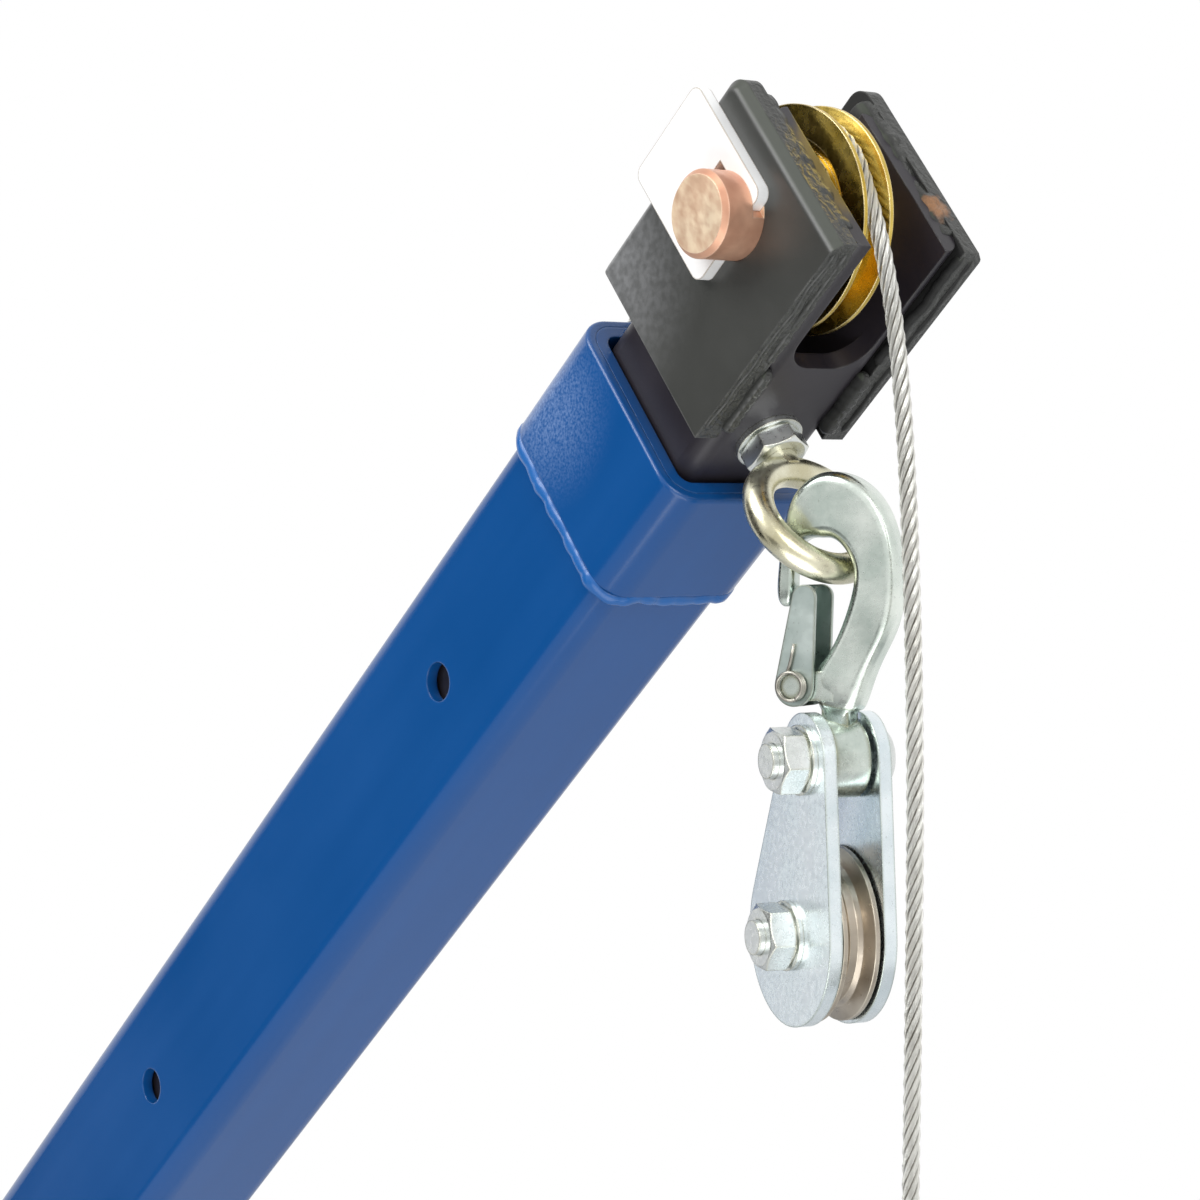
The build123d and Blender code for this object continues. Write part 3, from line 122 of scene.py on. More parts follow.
# Materials
class Look:
    """A procedural material, with short ways to add its nodes."""

    def __init__(self, name, **sockets):
        self.material = bpy.data.materials.new(name)
        self.material.use_nodes = True
        self.tree = self.material.node_tree
        self.shader = self.tree.nodes["Principled BSDF"]
        coords = self.tree.nodes.new("ShaderNodeTexCoord")
        self.place = coords.outputs["Object"]
        self.normal = coords.outputs["Normal"]
        self.uv = coords.outputs["UV"]
        for key, value in sockets.items():
            self.set(key.replace("_", " "), value)

    def set(self, key, value):
        socket = self.shader.inputs[key]
        if isinstance(value, bpy.types.NodeSocket):
            self.tree.links.new(value, socket)
        elif isinstance(value, tuple):
            socket.default_value = (*value, 1) if len(socket.default_value) == 4 else value
        else:
            socket.default_value = value

    def add(self, kind, inputs, output=0, **settings):
        node = self.tree.nodes.new(kind)
        for key, value in settings.items():
            setattr(node, key, value)
        for key, value in inputs.items():
            socket = node.inputs[key]
            if isinstance(value, bpy.types.NodeSocket):
                self.tree.links.new(value, socket)
            elif isinstance(value, tuple) and len(value) == 3 and socket.type == "RGBA":
                socket.default_value = (*value, 1)
            else:
                socket.default_value = value
        return node.outputs[output]

    def noise(self, scale, detail=3.0, roughness=0.5, vector=None, distortion=0.0):
        inputs = {"Vector": vector or self.place, "Scale": scale, "Detail": detail,
                  "Roughness": roughness, "Distortion": distortion}
        return self.add("ShaderNodeTexNoise", inputs)

    def spread(self, value, low, high, to_low=0.0, to_high=1.0, smooth=False):
        kind = "SMOOTHSTEP" if smooth else "LINEAR"
        inputs = {"Value": value, "From Min": low, "From Max": high, "To Min": to_low, "To Max": to_high}
        return self.add("ShaderNodeMapRange", inputs, interpolation_type=kind)

    def mix(self, share, first, second):
        return self.add("ShaderNodeMix", {0: share, 6: first, 7: second}, output=2, data_type="RGBA")

    def maths(self, operation, first, second=0.0):
        return self.add("ShaderNodeMath", {0: first, 1: second}, operation=operation)

    def toward(self, direction, vector=None):
        """Cosine between the surface's normal, or a vector, and a direction."""
        inputs = {0: vector or self.normal, 1: tuple(direction)}
        return self.add("ShaderNodeVectorMath", inputs, output="Value", operation="DOT_PRODUCT")

    def distance(self, point):
        return self.add("ShaderNodeVectorMath", {0: self.place, 1: tuple(point)}, output="Value",
                        operation="DISTANCE")

    def off_axis(self, point, axis):
        """Distance from an axis."""
        arm = self.add("ShaderNodeVectorMath", {0: self.place, 1: tuple(point)}, operation="SUBTRACT")
        turned = self.add("ShaderNodeVectorMath", {0: arm, 1: tuple(axis)}, operation="CROSS_PRODUCT")
        return self.add("ShaderNodeVectorMath", {0: turned}, output="Value", operation="LENGTH")

    def stretched(self, axis, lengthwise, crosswise):
        """Place scaled by one number along an axis and by another across it."""
        run = self.toward(axis, self.place)
        part = self.add("ShaderNodeVectorMath", {0: tuple(axis), "Scale": run}, operation="SCALE")
        rest = self.add("ShaderNodeVectorMath", {0: self.place, 1: part}, operation="SUBTRACT")
        part = self.add("ShaderNodeVectorMath", {0: part, "Scale": lengthwise}, operation="SCALE")
        rest = self.add("ShaderNodeVectorMath", {0: rest, "Scale": crosswise}, operation="SCALE")
        return self.add("ShaderNodeVectorMath", {0: part, 1: rest}, operation="ADD")

    def rounded(self, radius):
        """Normal rounded over the edges."""
        return self.add("ShaderNodeBevel", {"Radius": radius}, samples=6)

    def edges(self, radius):
        """One on sharp edges, nought on flat faces."""
        soft = self.add("ShaderNodeBevel", {"Radius": radius}, samples=6)
        hard = self.add("ShaderNodeNewGeometry", {}, output="Normal")
        cosine = self.add("ShaderNodeVectorMath", {0: soft, 1: hard}, output="Value", operation="DOT_PRODUCT")
        return self.spread(cosine, 0.995, 0.86)

    def bump(self, height, depth, strength=1.0, normal=None):
        inputs = {"Height": height, "Distance": depth, "Strength": strength}
        if normal is not None:
            inputs["Normal"] = normal
        return self.add("ShaderNodeBump", inputs)


def blue_paint(name, low=(0.0020, 0.058, 0.215), high=(0.0036, 0.073, 0.262), gloss=(0.17, 0.27), sheen_place=None):
    """Glossy blue, faintly streaked along the boom, with a speckled painted sheen round one place if asked.
    """
    look = Look(name, IOR=1.48)
    streaks = look.noise(1.0, 2.0, vector=look.stretched(along, 4.0, 60.0))
    cloud = look.maths("ADD", look.maths("MULTIPLY", look.noise(9.0, 4.0), 0.6),
                       look.maths("MULTIPLY", streaks, 0.4))
    tone = look.mix(look.spread(cloud, 0.3, 0.7), low, high)
    if sheen_place is not None:
        # Paler speckled patch round one point: a painted sheen standing in for light on the paint.
        painted_sheen = look.spread(look.off_axis(sheen_place, across), 36 * mm, 2 * mm, 0.0, 0.8, smooth=True)
        speckle = look.spread(look.noise(1100.0, 2.0), 0.35, 0.72, 0.15, 0.9)
        tone = look.mix(look.maths("MULTIPLY", painted_sheen, speckle), tone, (0.19, 0.29, 0.52))
    edge_tint = look.maths("MULTIPLY", look.edges(1.2 * mm), look.spread(look.noise(240.0, 2.0), 0.5, 0.66))
    look.set("Base Color", look.mix(look.maths("MULTIPLY", edge_tint, 0.35), tone, (0.05, 0.16, 0.42)))
    look.set("Roughness", look.spread(cloud, 0.3, 0.7, *gloss))
    look.set("Normal", look.bump(look.noise(230.0, 1.5), 0.03 * mm, 0.5, look.rounded(0.8 * mm)))
    return look.material


def black_paint(name, low=(0.016, 0.016, 0.016), high=(0.03, 0.029, 0.027)):
    look = Look(name, IOR=1.5)
    cloud = look.noise(26.0, 5.0, 0.6)
    edge_tint = look.maths("MULTIPLY", look.edges(1.0 * mm), look.spread(look.noise(190.0, 3.0), 0.44, 0.62))
    tone = look.mix(cloud, low, high)
    look.set("Base Color", look.mix(look.maths("MULTIPLY", edge_tint, 0.5), tone, (0.10, 0.10, 0.09)))
    look.set("Roughness", look.spread(cloud, 0.3, 0.7, 0.3, 0.46))
    look.set("Normal", look.bump(look.noise(300.0, 2.0), 0.05 * mm, 0.6, look.rounded(0.6 * mm)))
    return look.material


def plate_paint(name, spot, corner):
    """Semi-gloss black on flame-cut plate.

    It has a greenish bevel, scored edges, painted shade darkening the inside faces, a bare spot and a painted
    sheen at one corner.
    """
    look = Look(name, IOR=1.5)
    cloud = look.noise(24.0, 5.0, 0.6)
    tone = look.mix(cloud, (0.030, 0.031, 0.028), (0.050, 0.051, 0.047))
    facing = look.toward(across)
    sideways = look.maths("ABSOLUTE", facing)
    outer = look.spread(look.maths("MULTIPLY", facing, look.toward(across, look.place)), 0.004, 0.012)
    # Paler speckled patch round one corner of the outer faces: a painted sheen.
    painted_sheen = look.spread(look.off_axis(corner, across), 52 * mm, 2 * mm, 0.0, 0.9, smooth=True)
    painted_sheen = look.maths("MULTIPLY", painted_sheen, look.spread(look.noise(420.0, 2.0), 0.35, 0.65, 0.55, 1.0))
    tone = look.mix(look.maths("MULTIPLY", painted_sheen, outer), tone, (0.21, 0.212, 0.215))
    # Inside faces darkened almost to black, with rougher paint there: painted shade.
    inner = look.spread(look.maths("MULTIPLY", facing, look.toward(across, look.place)), -0.004, -0.012)
    tone = look.mix(look.maths("MULTIPLY", inner, 0.9), tone, (0.003, 0.003, 0.003))
    bevel = look.spread(look.maths("ABSOLUTE", look.maths("SUBTRACT", sideways, 0.7)), 0.24, 0.1)
    strip = look.maths("MULTIPLY", bevel, look.spread(look.toward(along), 0.3, 0.55))
    tone = look.mix(look.maths("MULTIPLY", strip, 0.85), tone, (0.030, 0.036, 0.024))
    ragged = look.spread(look.noise(300.0), 0.3, 0.7, 0.0, 3 * mm)
    bare = look.spread(look.maths("ADD", look.distance(spot), ragged), 6.5 * mm, 3.5 * mm)
    tone = look.mix(look.maths("MULTIPLY", bare, 0.9), tone, (0.33, 0.16, 0.07))
    edge_tint = look.maths("MULTIPLY", look.edges(1.0 * mm), look.spread(look.noise(150.0, 3.0), 0.42, 0.62))
    look.set("Base Color", look.mix(look.maths("MULTIPLY", edge_tint, 0.5), tone, (0.16, 0.16, 0.15)))
    look.set("Roughness", look.spread(look.maths("ADD", cloud, inner), 0.3, 1.4, 0.3, 0.7))
    wave = {"Vector": look.place, "Scale": 130.0, "Distortion": 9.0, "Detail": 3.0, "Detail Scale": 2.0}
    score = look.add("ShaderNodeTexWave", wave, output=1, bands_direction="DIAGONAL")
    cut = look.spread(sideways, 0.6, 0.3)
    rough = look.maths("MULTIPLY", look.maths("ADD", score, look.noise(260.0, 4.0)), cut)
    skin = look.maths("ADD", rough, look.maths("MULTIPLY", look.noise(300.0, 2.0), 0.07))
    look.set("Normal", look.bump(skin, 0.34 * mm, 0.8, look.rounded(0.7 * mm)))
    return look.material


def zinc(name, low, high, edge, roughness=(0.2, 0.38), grain=0.05, edge_share=0.7, edge_width=1.4):
    look = Look(name, Metallic=1.0)
    cloud = look.noise(70.0, 4.0, 0.55)
    fine = look.noise(620.0, 3.0)
    tone = look.mix(look.spread(cloud, 0.32, 0.68), low, high)
    # Edges mixed toward the edge colour. On the zinc looks this colour is darker: painted shade standing in
    # for dark reflections on rounded edges. plain_metal passes a paler colour here as edge wear.
    edge_tint = look.maths("MULTIPLY", look.edges(edge_width * mm), edge_share)
    tone = look.mix(edge_tint, tone, edge)
    pits = look.spread(look.noise(1300.0, 2.0), 0.26, 0.33, 0.3, 0.0)
    look.set("Base Color", look.mix(pits, tone, (0.16, 0.15, 0.12)))
    look.set("Roughness", look.spread(look.maths("ADD", cloud, fine), 0.7, 1.3, *roughness))
    swell = look.maths("ADD", look.noise(110.0, 1.5), look.maths("MULTIPLY", fine, 0.12))
    look.set("Normal", look.bump(swell, grain * mm, 1.0, look.rounded(0.5 * mm)))
    return look.material


def turned_metal(name, low, high, centre, axis, roughness, pitch, depth):
    """Metal turned about an axis, with tool rings."""
    look = Look(name, Metallic=1.0)
    ring = look.off_axis(centre, axis)
    wave = look.maths("SINE", look.maths("MULTIPLY", ring, 2 * math.pi / (pitch * mm)))
    cloud = look.noise(85.0, 4.0)
    tone = look.mix(look.spread(cloud, 0.3, 0.7), low, high)
    edge_tint = look.maths("MULTIPLY", look.edges(0.8 * mm), 0.4)
    look.set("Base Color", look.mix(edge_tint, tone, (0.95, 0.9, 0.72)))
    look.set("Roughness", look.spread(look.noise(400.0, 3.0), 0.3, 0.7, *roughness))
    skin = look.maths("ADD", wave, look.noise(300.0, 2.0))
    look.set("Normal", look.bump(skin, depth * mm, 0.8, look.rounded(0.4 * mm)))
    return look.material


def wire(name):
    """Galvanised strand: fine wires twisted along each strand of the mesh."""
    look = Look(name, Metallic=1.0)
    tone = look.mix(look.spread(look.noise(55.0, 4.0), 0.3, 0.7), (0.60, 0.59, 0.54), (0.78, 0.78, 0.74))
    depth = look.add("ShaderNodeAttribute", {}, output="Fac", attribute_name="depth")
    # Darker towards each strand's inner side and between the strands: painted shade, its edge jittered by
    # noise.
    groove_jitter = look.maths("MULTIPLY", look.spread(look.noise(210.0, 3.0), 0.4, 0.7), 0.12)
    groove_shade = look.spread(look.maths("SUBTRACT", depth, groove_jitter), 0.38, 0.78, 0.9, 0.0, smooth=True)
    look.set("Base Color", look.mix(groove_shade, tone, (0.10, 0.085, 0.055)))
    look.set("Roughness", look.spread(look.noise(160.0), 0.3, 0.7, 0.3, 0.46))
    wires = look.add("ShaderNodeTexWave", {"Vector": look.uv, "Scale": 1.0}, output=1,
                     bands_direction="DIAGONAL")
    look.set("Normal", look.bump(wires, 0.12 * mm, 0.7))
    return look.material


def glare_white_plate(name):
    """Bright zinc plate, dulled to an even near-white that stands in for glare as a painted reflection, with
    painted shade along its edges.
    """
    look = Look(name, Metallic=0.35)
    cloud = look.noise(60.0, 4.0)
    tone = look.mix(look.spread(cloud, 0.3, 0.7), (0.93, 0.93, 0.92), (0.98, 0.98, 0.97))
    # Brown outline along the edges: painted shade.
    rim = look.maths("MULTIPLY", look.edges(0.8 * mm), 0.85)
    look.set("Base Color", look.mix(rim, tone, (0.27, 0.20, 0.11)))
    look.set("Roughness", look.spread(cloud, 0.3, 0.7, 0.5, 0.62))
    look.set("Normal", look.bump(look.noise(500.0, 3.0), 0.03 * mm, 0.6, look.rounded(0.4 * mm)))
    return look.material


def axle_metal(name, axis):
    """Copper-coloured passivated pin with a sawn, scratched end."""
    look = Look(name, Metallic=0.6)
    cloud = look.noise(70.0, 3.0)
    scratch = look.noise(1.0, 3.0, vector=look.stretched(upward, 260.0, 420.0))
    ends = look.spread(look.maths("ABSOLUTE", look.toward(axis)), 0.7, 0.95)
    side = look.mix(look.spread(cloud, 0.3, 0.7), (0.50, 0.24, 0.15), (0.72, 0.42, 0.28))
    marks = look.spread(look.maths("ADD", cloud, scratch), 0.8, 1.2)
    sawn = look.mix(marks, (0.90, 0.60, 0.40), (0.98, 0.78, 0.55))
    tone = look.mix(ends, side, sawn)
    edge_tint = look.maths("MULTIPLY", look.edges(0.8 * mm), 0.4)
    look.set("Base Color", look.mix(edge_tint, tone, (0.95, 0.80, 0.62)))
    look.set("Roughness", look.spread(scratch, 0.3, 0.7, 0.34, 0.5))
    look.set("Normal", look.bump(scratch, 0.004 * mm, 0.8, look.rounded(0.4 * mm)))
    return look.material


def plain_metal(name, low, high, roughness=(0.25, 0.4)):
    return zinc(name, low, high, tuple(min(1.0, c * 1.15) for c in high), roughness, 0.03, 0.4, 0.8)


def moulded(name):
    look = Look(name, IOR=1.5)
    cloud = look.noise(60.0, 4.0)
    look.set("Base Color", look.mix(cloud, (0.018, 0.018, 0.019), (0.035, 0.034, 0.034)))
    look.set("Roughness", look.spread(cloud, 0.3, 0.7, 0.5, 0.68))
    look.set("Normal", look.bump(look.noise(1100.0, 2.0), 0.12 * mm, 0.7, look.rounded(0.8 * mm)))
    return look.material


axle_place = boom(head_axle[0], 0, head_axle[1])
hook_seat = Vector((837.07, -2.2, 1344.81)) * mm
block_turn = (Matrix.Rotation(math.radians(block_yaw), 3, "Z")
              @ Matrix.Rotation(math.radians(block_lean), 3, "Y"))
block_hang = hook_seat + Vector((0, 0, -hook_length)) * mm
block_centre = block_hang + block_turn @ Vector((0, 0, -block_axle_drop)) * mm
block_axis = block_turn @ across
rust_place = boom(mouth + 98, 20, -10.5)
# Centre of the painted sheen on the head plates' outer faces
plate_sheen_corner = boom(mouth + 19, 0, 39.3)
looks = {
    "blue_paint": blue_paint("blue_paint"),
    # Lighter copy of the blue paint for the weld beads: a painted highlight.
    "blue_weld": blue_paint("blue_weld", (0.004, 0.085, 0.30), (0.02, 0.13, 0.40), (0.2, 0.34)),
    # The collar gets a speckled painted sheen near its upper corner.
    "collar": blue_paint("blue_collar", sheen_place=boom(mouth - 27, 0, 26)),
    "black_paint": black_paint("black_paint"),
    "plate": plate_paint("black_plate", rust_place, plate_sheen_corner),
    "tube": black_paint("purple_black_tube", (0.012, 0.010, 0.013), (0.026, 0.022, 0.029)),
    # Each zinc look's third colour darkens its edges: painted shade.
    "bright_zinc": zinc("bright_zinc", (0.62, 0.65, 0.63), (0.78, 0.80, 0.79), (0.55, 0.54, 0.42),
                        grain=0.025),
    "hook": zinc("forged_zinc", (0.50, 0.57, 0.52), (0.80, 0.85, 0.79), (0.27, 0.27, 0.16),
                 (0.2, 0.34), 0.08, 0.85, 2.8),
    "latch": zinc("dull_zinc", (0.34, 0.42, 0.39), (0.56, 0.63, 0.60), (0.26, 0.27, 0.20),
                  (0.26, 0.42), 0.05, 0.8, 1.2),
    "cheek": zinc("pressed_zinc", (0.68, 0.76, 0.79), (0.86, 0.92, 0.94), (0.48, 0.54, 0.46),
                  (0.2, 0.34), 0.02, 0.7, 1.2),
    "eye": zinc("yellow_chromate", (0.52, 0.48, 0.31), (0.80, 0.78, 0.62), (0.40, 0.36, 0.20),
                (0.2, 0.36), 0.06, 0.6, 1.6),
    # The keeper's near-white is painted glare on bright zinc.
    "keeper": glare_white_plate("zinc_painted_glare_white"),
    "sheave": turned_metal("gold_sheave", (0.50, 0.34, 0.05), (0.76, 0.57, 0.15), axle_place, across,
                           (0.2, 0.32), 1.1, 0.002),
    "axle": axle_metal("copper_axle", across),
    "wheel": turned_metal("block_wheel", (0.36, 0.31, 0.25), (0.56, 0.50, 0.42), block_centre, block_axis,
                          (0.26, 0.4), 0.8, 0.004),
    "chrome": zinc("polished_rod", (0.60, 0.60, 0.59), (0.68, 0.68, 0.67), (0.5, 0.5, 0.48),
                   (0.12, 0.2), 0.004, 0.3, 0.6),
    "bare_steel": plain_metal("bare_steel", (0.30, 0.29, 0.26), (0.46, 0.44, 0.38)),
    "bronze": plain_metal("bronze", (0.42, 0.26, 0.10), (0.62, 0.42, 0.18)),
    "aluminium": plain_metal("aluminium", (0.68, 0.68, 0.68), (0.80, 0.80, 0.80), (0.28, 0.42)),
    "black_grip": moulded("black_grip"),
    "wire_rope": wire("wire_rope"),
}
own_look = {
    "head_plate_right": "plate", "head_plate_left": "plate", "head_welds": "plate", "extension_tube": "tube",
    "block_hook": "hook", "load_hook": "hook", "block_hook_latch": "latch", "load_hook_latch": "latch",
    "block_cheek_near": "cheek", "block_cheek_far": "cheek", "eye_bolt": "eye", "keeper_plate": "keeper",
    "boom_collar": "collar", "head_sheave": "sheave", "axle_pin": "axle", "block_sheave": "wheel",
    "jack_ram": "chrome",
}
slot_of = {piece["node"]: piece["material_slot"] for piece in frame["record"]["subparts"]}
for name, node in nodes.items():
    node.data.materials.clear()
    node.data.materials.append(looks[own_look.get(name, slot_of[name])])


# Ropes
def smooth_line(points, steps=24):
    """Points along a NURBS spline through its control points."""
    curve = bpy.data.curves.new("line", "CURVE")
    curve.dimensions = "3D"
    curve.resolution_u = steps
    spline = curve.splines.new("NURBS")
    spline.points.add(len(points) - 1)
    for place, point in zip(spline.points, points):
        place.co = (*point, 1)
    spline.order_u = 3
    spline.use_endpoint_u = True
    carrier = bpy.data.objects.new("line", curve)
    scene.collection.objects.link(carrier)
    mesh = bpy.data.meshes.new_from_object(carrier)
    line = [vertex.co.copy() for vertex in mesh.vertices]
    bpy.data.objects.remove(carrier)
    bpy.data.curves.remove(curve)
    bpy.data.meshes.remove(mesh)
    return line


def evenly(line, step):
    """The same line with its points about one step apart."""
    total = sum((b - a).length for a, b in zip(line, line[1:]))
    count = max(2, round(total / step))
    places = [line[0].copy()]
    want, gone = total / count, 0.0
    for a, b in zip(line, line[1:]):
        run = (b - a).length
        while want <= gone + run + 1e-12 and len(places) < count:
            places.append(a.lerp(b, (want - gone) / max(run, 1e-12)))
            want += total / count
        gone += run
    places.append(line[-1].copy())
    return places, total


def carried_frames(places):
    """Directions and normals carried along a line without twist."""
    ahead = [(b - a).normalized() for a, b in zip(places, places[1:])]
    ahead = [ahead[0]] + [(a + b).normalized() for a, b in zip(ahead, ahead[1:])] + [ahead[-1]]
    side = across if abs(ahead[0].dot(across)) < 0.9 else upward
    normal = (side - ahead[0] * side.dot(ahead[0])).normalized()
    frames = []
    for direction in ahead:
        normal = (normal - direction * normal.dot(direction)).normalized()
        frames.append((direction, normal, direction.cross(normal)))
    return frames


def add_piece(name, vertices, faces, look, body, slot, uvs=None, depths=None):
    mesh = bpy.data.meshes.new(name)
    mesh.from_pydata(vertices, [], faces)
    mesh.validate()
    mesh.polygons.foreach_set("use_smooth", [True] * len(mesh.polygons))
    if uvs is not None:
        layer = mesh.uv_layers.new(name="along")
        for loop in mesh.loops:
            layer.data[loop.index].uv = uvs[loop.vertex_index]
    if depths is not None:
        mesh.attributes.new("depth", "FLOAT", "POINT").data.foreach_set("value", depths)
    mesh.materials.append(looks[look])
    piece = bpy.data.objects.new(name, mesh)
    scene.collection.objects.link(piece)
    if body is not None:
        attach(piece, body)
    return piece


def twisted_rope(line, step, body, name, thin=None, sides=7):
    """Six strands laid right-handed about a core. thin gives the share of the diameter near the start."""
    places, total = evenly(line, step)
    frames = carried_frames(places)
    vertices, faces, uvs, depths = [], [], [], []
    radius = rope / 2 * mm
    strand = radius * 0.36
    arm = radius - strand

    def tube(centre, size, count):
        first = len(vertices)
        gone = 0.0
        rings = [centre(i) for i in range(len(places))]
        for i, middle in enumerate(rings):
            if i:
                gone += (places[i] - places[i - 1]).length
            ahead = (rings[min(i + 1, len(rings) - 1)] - rings[max(i - 1, 0)]).normalized()
            out = middle - places[i]
            out = out if out.length > 1e-9 else frames[i][1]
            out = (out - ahead * out.dot(ahead)).normalized()
            around = ahead.cross(out)
            share = thin(gone) if thin else 1.0
            for k in range(count):
                angle = 2 * math.pi * k / count
                vertices.append(middle + (out * math.cos(angle) + around * math.sin(angle)) * size * share)
                uvs.append((gone / (3.2 * mm) * 2.0, k / count * 18.0))
                # depth is 1 on a strand's outer crest and 0 on its inner side; the rope look paints shade
                # from it.
                depths.append(0.5 + 0.5 * math.cos(angle) if size == strand else 0.0)
        for i in range(len(rings) - 1):
            for k in range(count):
                a = first + i * count + k
                b = first + i * count + (k + 1) % count
                faces.append((a, b, b + count, a + count))
        faces.append(tuple(first + k for k in reversed(range(count))))
        faces.append(tuple(first + (len(rings) - 1) * count + k for k in range(count)))

    lengths = [0.0]
    for a, b in zip(places, places[1:]):
        lengths.append(lengths[-1] + (b - a).length)
    for index in range(6):
        def centre(i, index=index):
            angle = 2 * math.pi * (lengths[i] / (lay * mm) + index / 6)
            share = thin(lengths[i]) if thin else 1.0
            _, normal, other = frames[i]
            return places[i] + (normal * math.cos(angle) + other * math.sin(angle)) * arm * share
        tube(centre, strand, sides)
    tube(lambda i: places[i], radius * 0.5, 6)
    return add_piece(name, vertices, faces, "wire_rope", body, "wire_rope", uvs, depths), places, total


def sheave_point(radius, angle):
    x, z = polar(radius, angle)
    return boom(head_axle[0] + x, sheave_offset, head_axle[1] + z)


def drum_point(radius, turn):
    x, z = polar(radius, drum_tangent + 360 * (turn - winding_turns))
    return boom(drum_axis[0] + x, winding_start + winding_pitch * turn, drum_axis[1] + z)


reach = (head_axle[0] - drum_axis[0], head_axle[1] - drum_axis[1])
lean = math.degrees(math.asin((winding_radius + wrap_radius) / math.hypot(*reach)))
sheave_tangent = math.degrees(math.atan2(reach[1], reach[0])) + 90 + lean
drum_tangent = sheave_tangent - 180

# Hanging rope, forward and up from the head axle, over the sheave's front and down to its ferrule
hang = axle_place + Vector((0, sheave_offset * mm, 0))
tail_route = [(35.6, -14.7), (41.3, -50.0), (43.9, -95.0), (44.7, -150.0), (43.2, -205.0), (41.0, -262.0),
              (39.5, -300.0)]
over = [polar(27.9, 94), polar(28.2, 78), polar(28.2, 60), polar(28.2, 42), polar(28.2, 26)]
tail_line = smooth_line([hang + Vector((x, 0, z)) * mm for x, z in over + tail_route])


def tucked(gone):
    """The first stretch lies inside the rope that stays on the sheave."""
    return 0.86 if gone < 11 * mm else 1.0


tail, tail_places, tail_length = twisted_rope(tail_line, lay / 16 * mm, "load_line", "load_rope", tucked)
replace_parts(tail, "rope_tail")

# Eye of the rope round its thimble
foot = hang + Vector((39.5, 0, -324.3)) * mm
eye_route = [(0.0, 6.0), (0.0, -2.0), (-3.0, -9.0), (-10.4, -19.0), (-10.9, -33.0), (-8.6, -43.0),
             (2.6, -45.6), (13.8, -43.0), (16.1, -33.0), (15.6, -19.0), (8.2, -9.0), (5.2, -2.0), (5.2, 6.0)]
eye_line = smooth_line([foot + Vector((x, 0, z)) * mm for x, z in eye_route])
rope_eye, _, _ = twisted_rope(eye_line, lay / 12 * mm, "load_line", "rope_eye")
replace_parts(rope_eye, "rope_tail")
tuple(tail_places[0])
[tuple(p) for p in tail_places]

# Rope over the sheave, from the boom to the drum, and on the drum
wrap_line = smooth_line([sheave_point(wrap_radius, sheave_tangent), sheave_point(27.9, sheave_tangent - 8),
                         sheave_point(28.2, 68), sheave_point(28.2, 52), sheave_point(27.9, 38),
                         sheave_point(27.8, 30)])
wrap, _, _ = twisted_rope(wrap_line, lay / 16 * mm, "extension", "sheave_rope")
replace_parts(wrap, "rope_wrap")
leave, arrive = drum_point(winding_radius, winding_turns), sheave_point(wrap_radius, sheave_tangent)
# Share of the way from drum to sheave, and drop below the straight line
sag = [(0.18, 4.0), (0.42, 9.5), (0.66, 6.0), (0.84, 0.0), (0.90, 0.0)]
slack = [leave.lerp(arrive, t) - upward * drop * mm for t, drop in sag]
run, _, _ = twisted_rope(smooth_line([leave, *slack, arrive]), lay / 8 * mm, None, "boom_rope")
tuple(leave.lerp(arrive, 0.04))
tuple(leave.lerp(arrive, 0.96))
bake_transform(run)
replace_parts(run, "rope_run")
outside = winding_radius / math.cos(math.pi / 16)
winding_steps = range(round(16 * winding_turns) + 1)
winding_line = smooth_line([drum_point(outside, step / 16) for step in winding_steps], 8)
winding, _, _ = twisted_rope(winding_line, lay / 7 * mm, "drum", "drum_rope", sides=6)
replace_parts(winding, "wound_rope")


def ridged_layer():
    """Turns of the inner layers, showing between those of the outer one."""
    vertices, faces, uvs, depths = [], [], [], []
    steps, around = 112, 96
    low, high = -26.6, 21.6
    for i in range(steps + 1):
        y = low + (high - low) * i / steps
        off = ((y - low) / winding_pitch) % 1.0 - 0.5
        ridge = math.sqrt(max(0.0, 1 - (off / 0.5) ** 2))
        radius = inner_layer_radius + rope / 2 * ridge
        for k in range(around):
            x, z = polar(radius, 360 * k / around)
            vertices.append(boom(drum_axis[0] + x, y, drum_axis[1] + z))
            uvs.append((k * 1.8, i * 0.5))
            # ridge drives the painted shade between the turns.
            depths.append(ridge)
    for i in range(steps):
        for k in range(around):
            a, b = i * around + k, i * around + (k + 1) % around
            faces.append((a, a + around, b + around, b))
    faces.append(tuple(range(around)))
    faces.append(tuple(reversed(range(steps * around, (steps + 1) * around))))
    return add_piece("drum_inner_layers", vertices, faces, "wire_rope", "drum", "wire_rope", uvs, depths)


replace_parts(ridged_layer(), "wound_rope")


# Weld beads
def joined(forms):
    """Vertices and faces of several forms as one."""
    vertices, faces = [], []
    for more, sides in forms:
        faces += [tuple(i + len(vertices) for i in side) for side in sides]
        vertices += more
    return vertices, faces


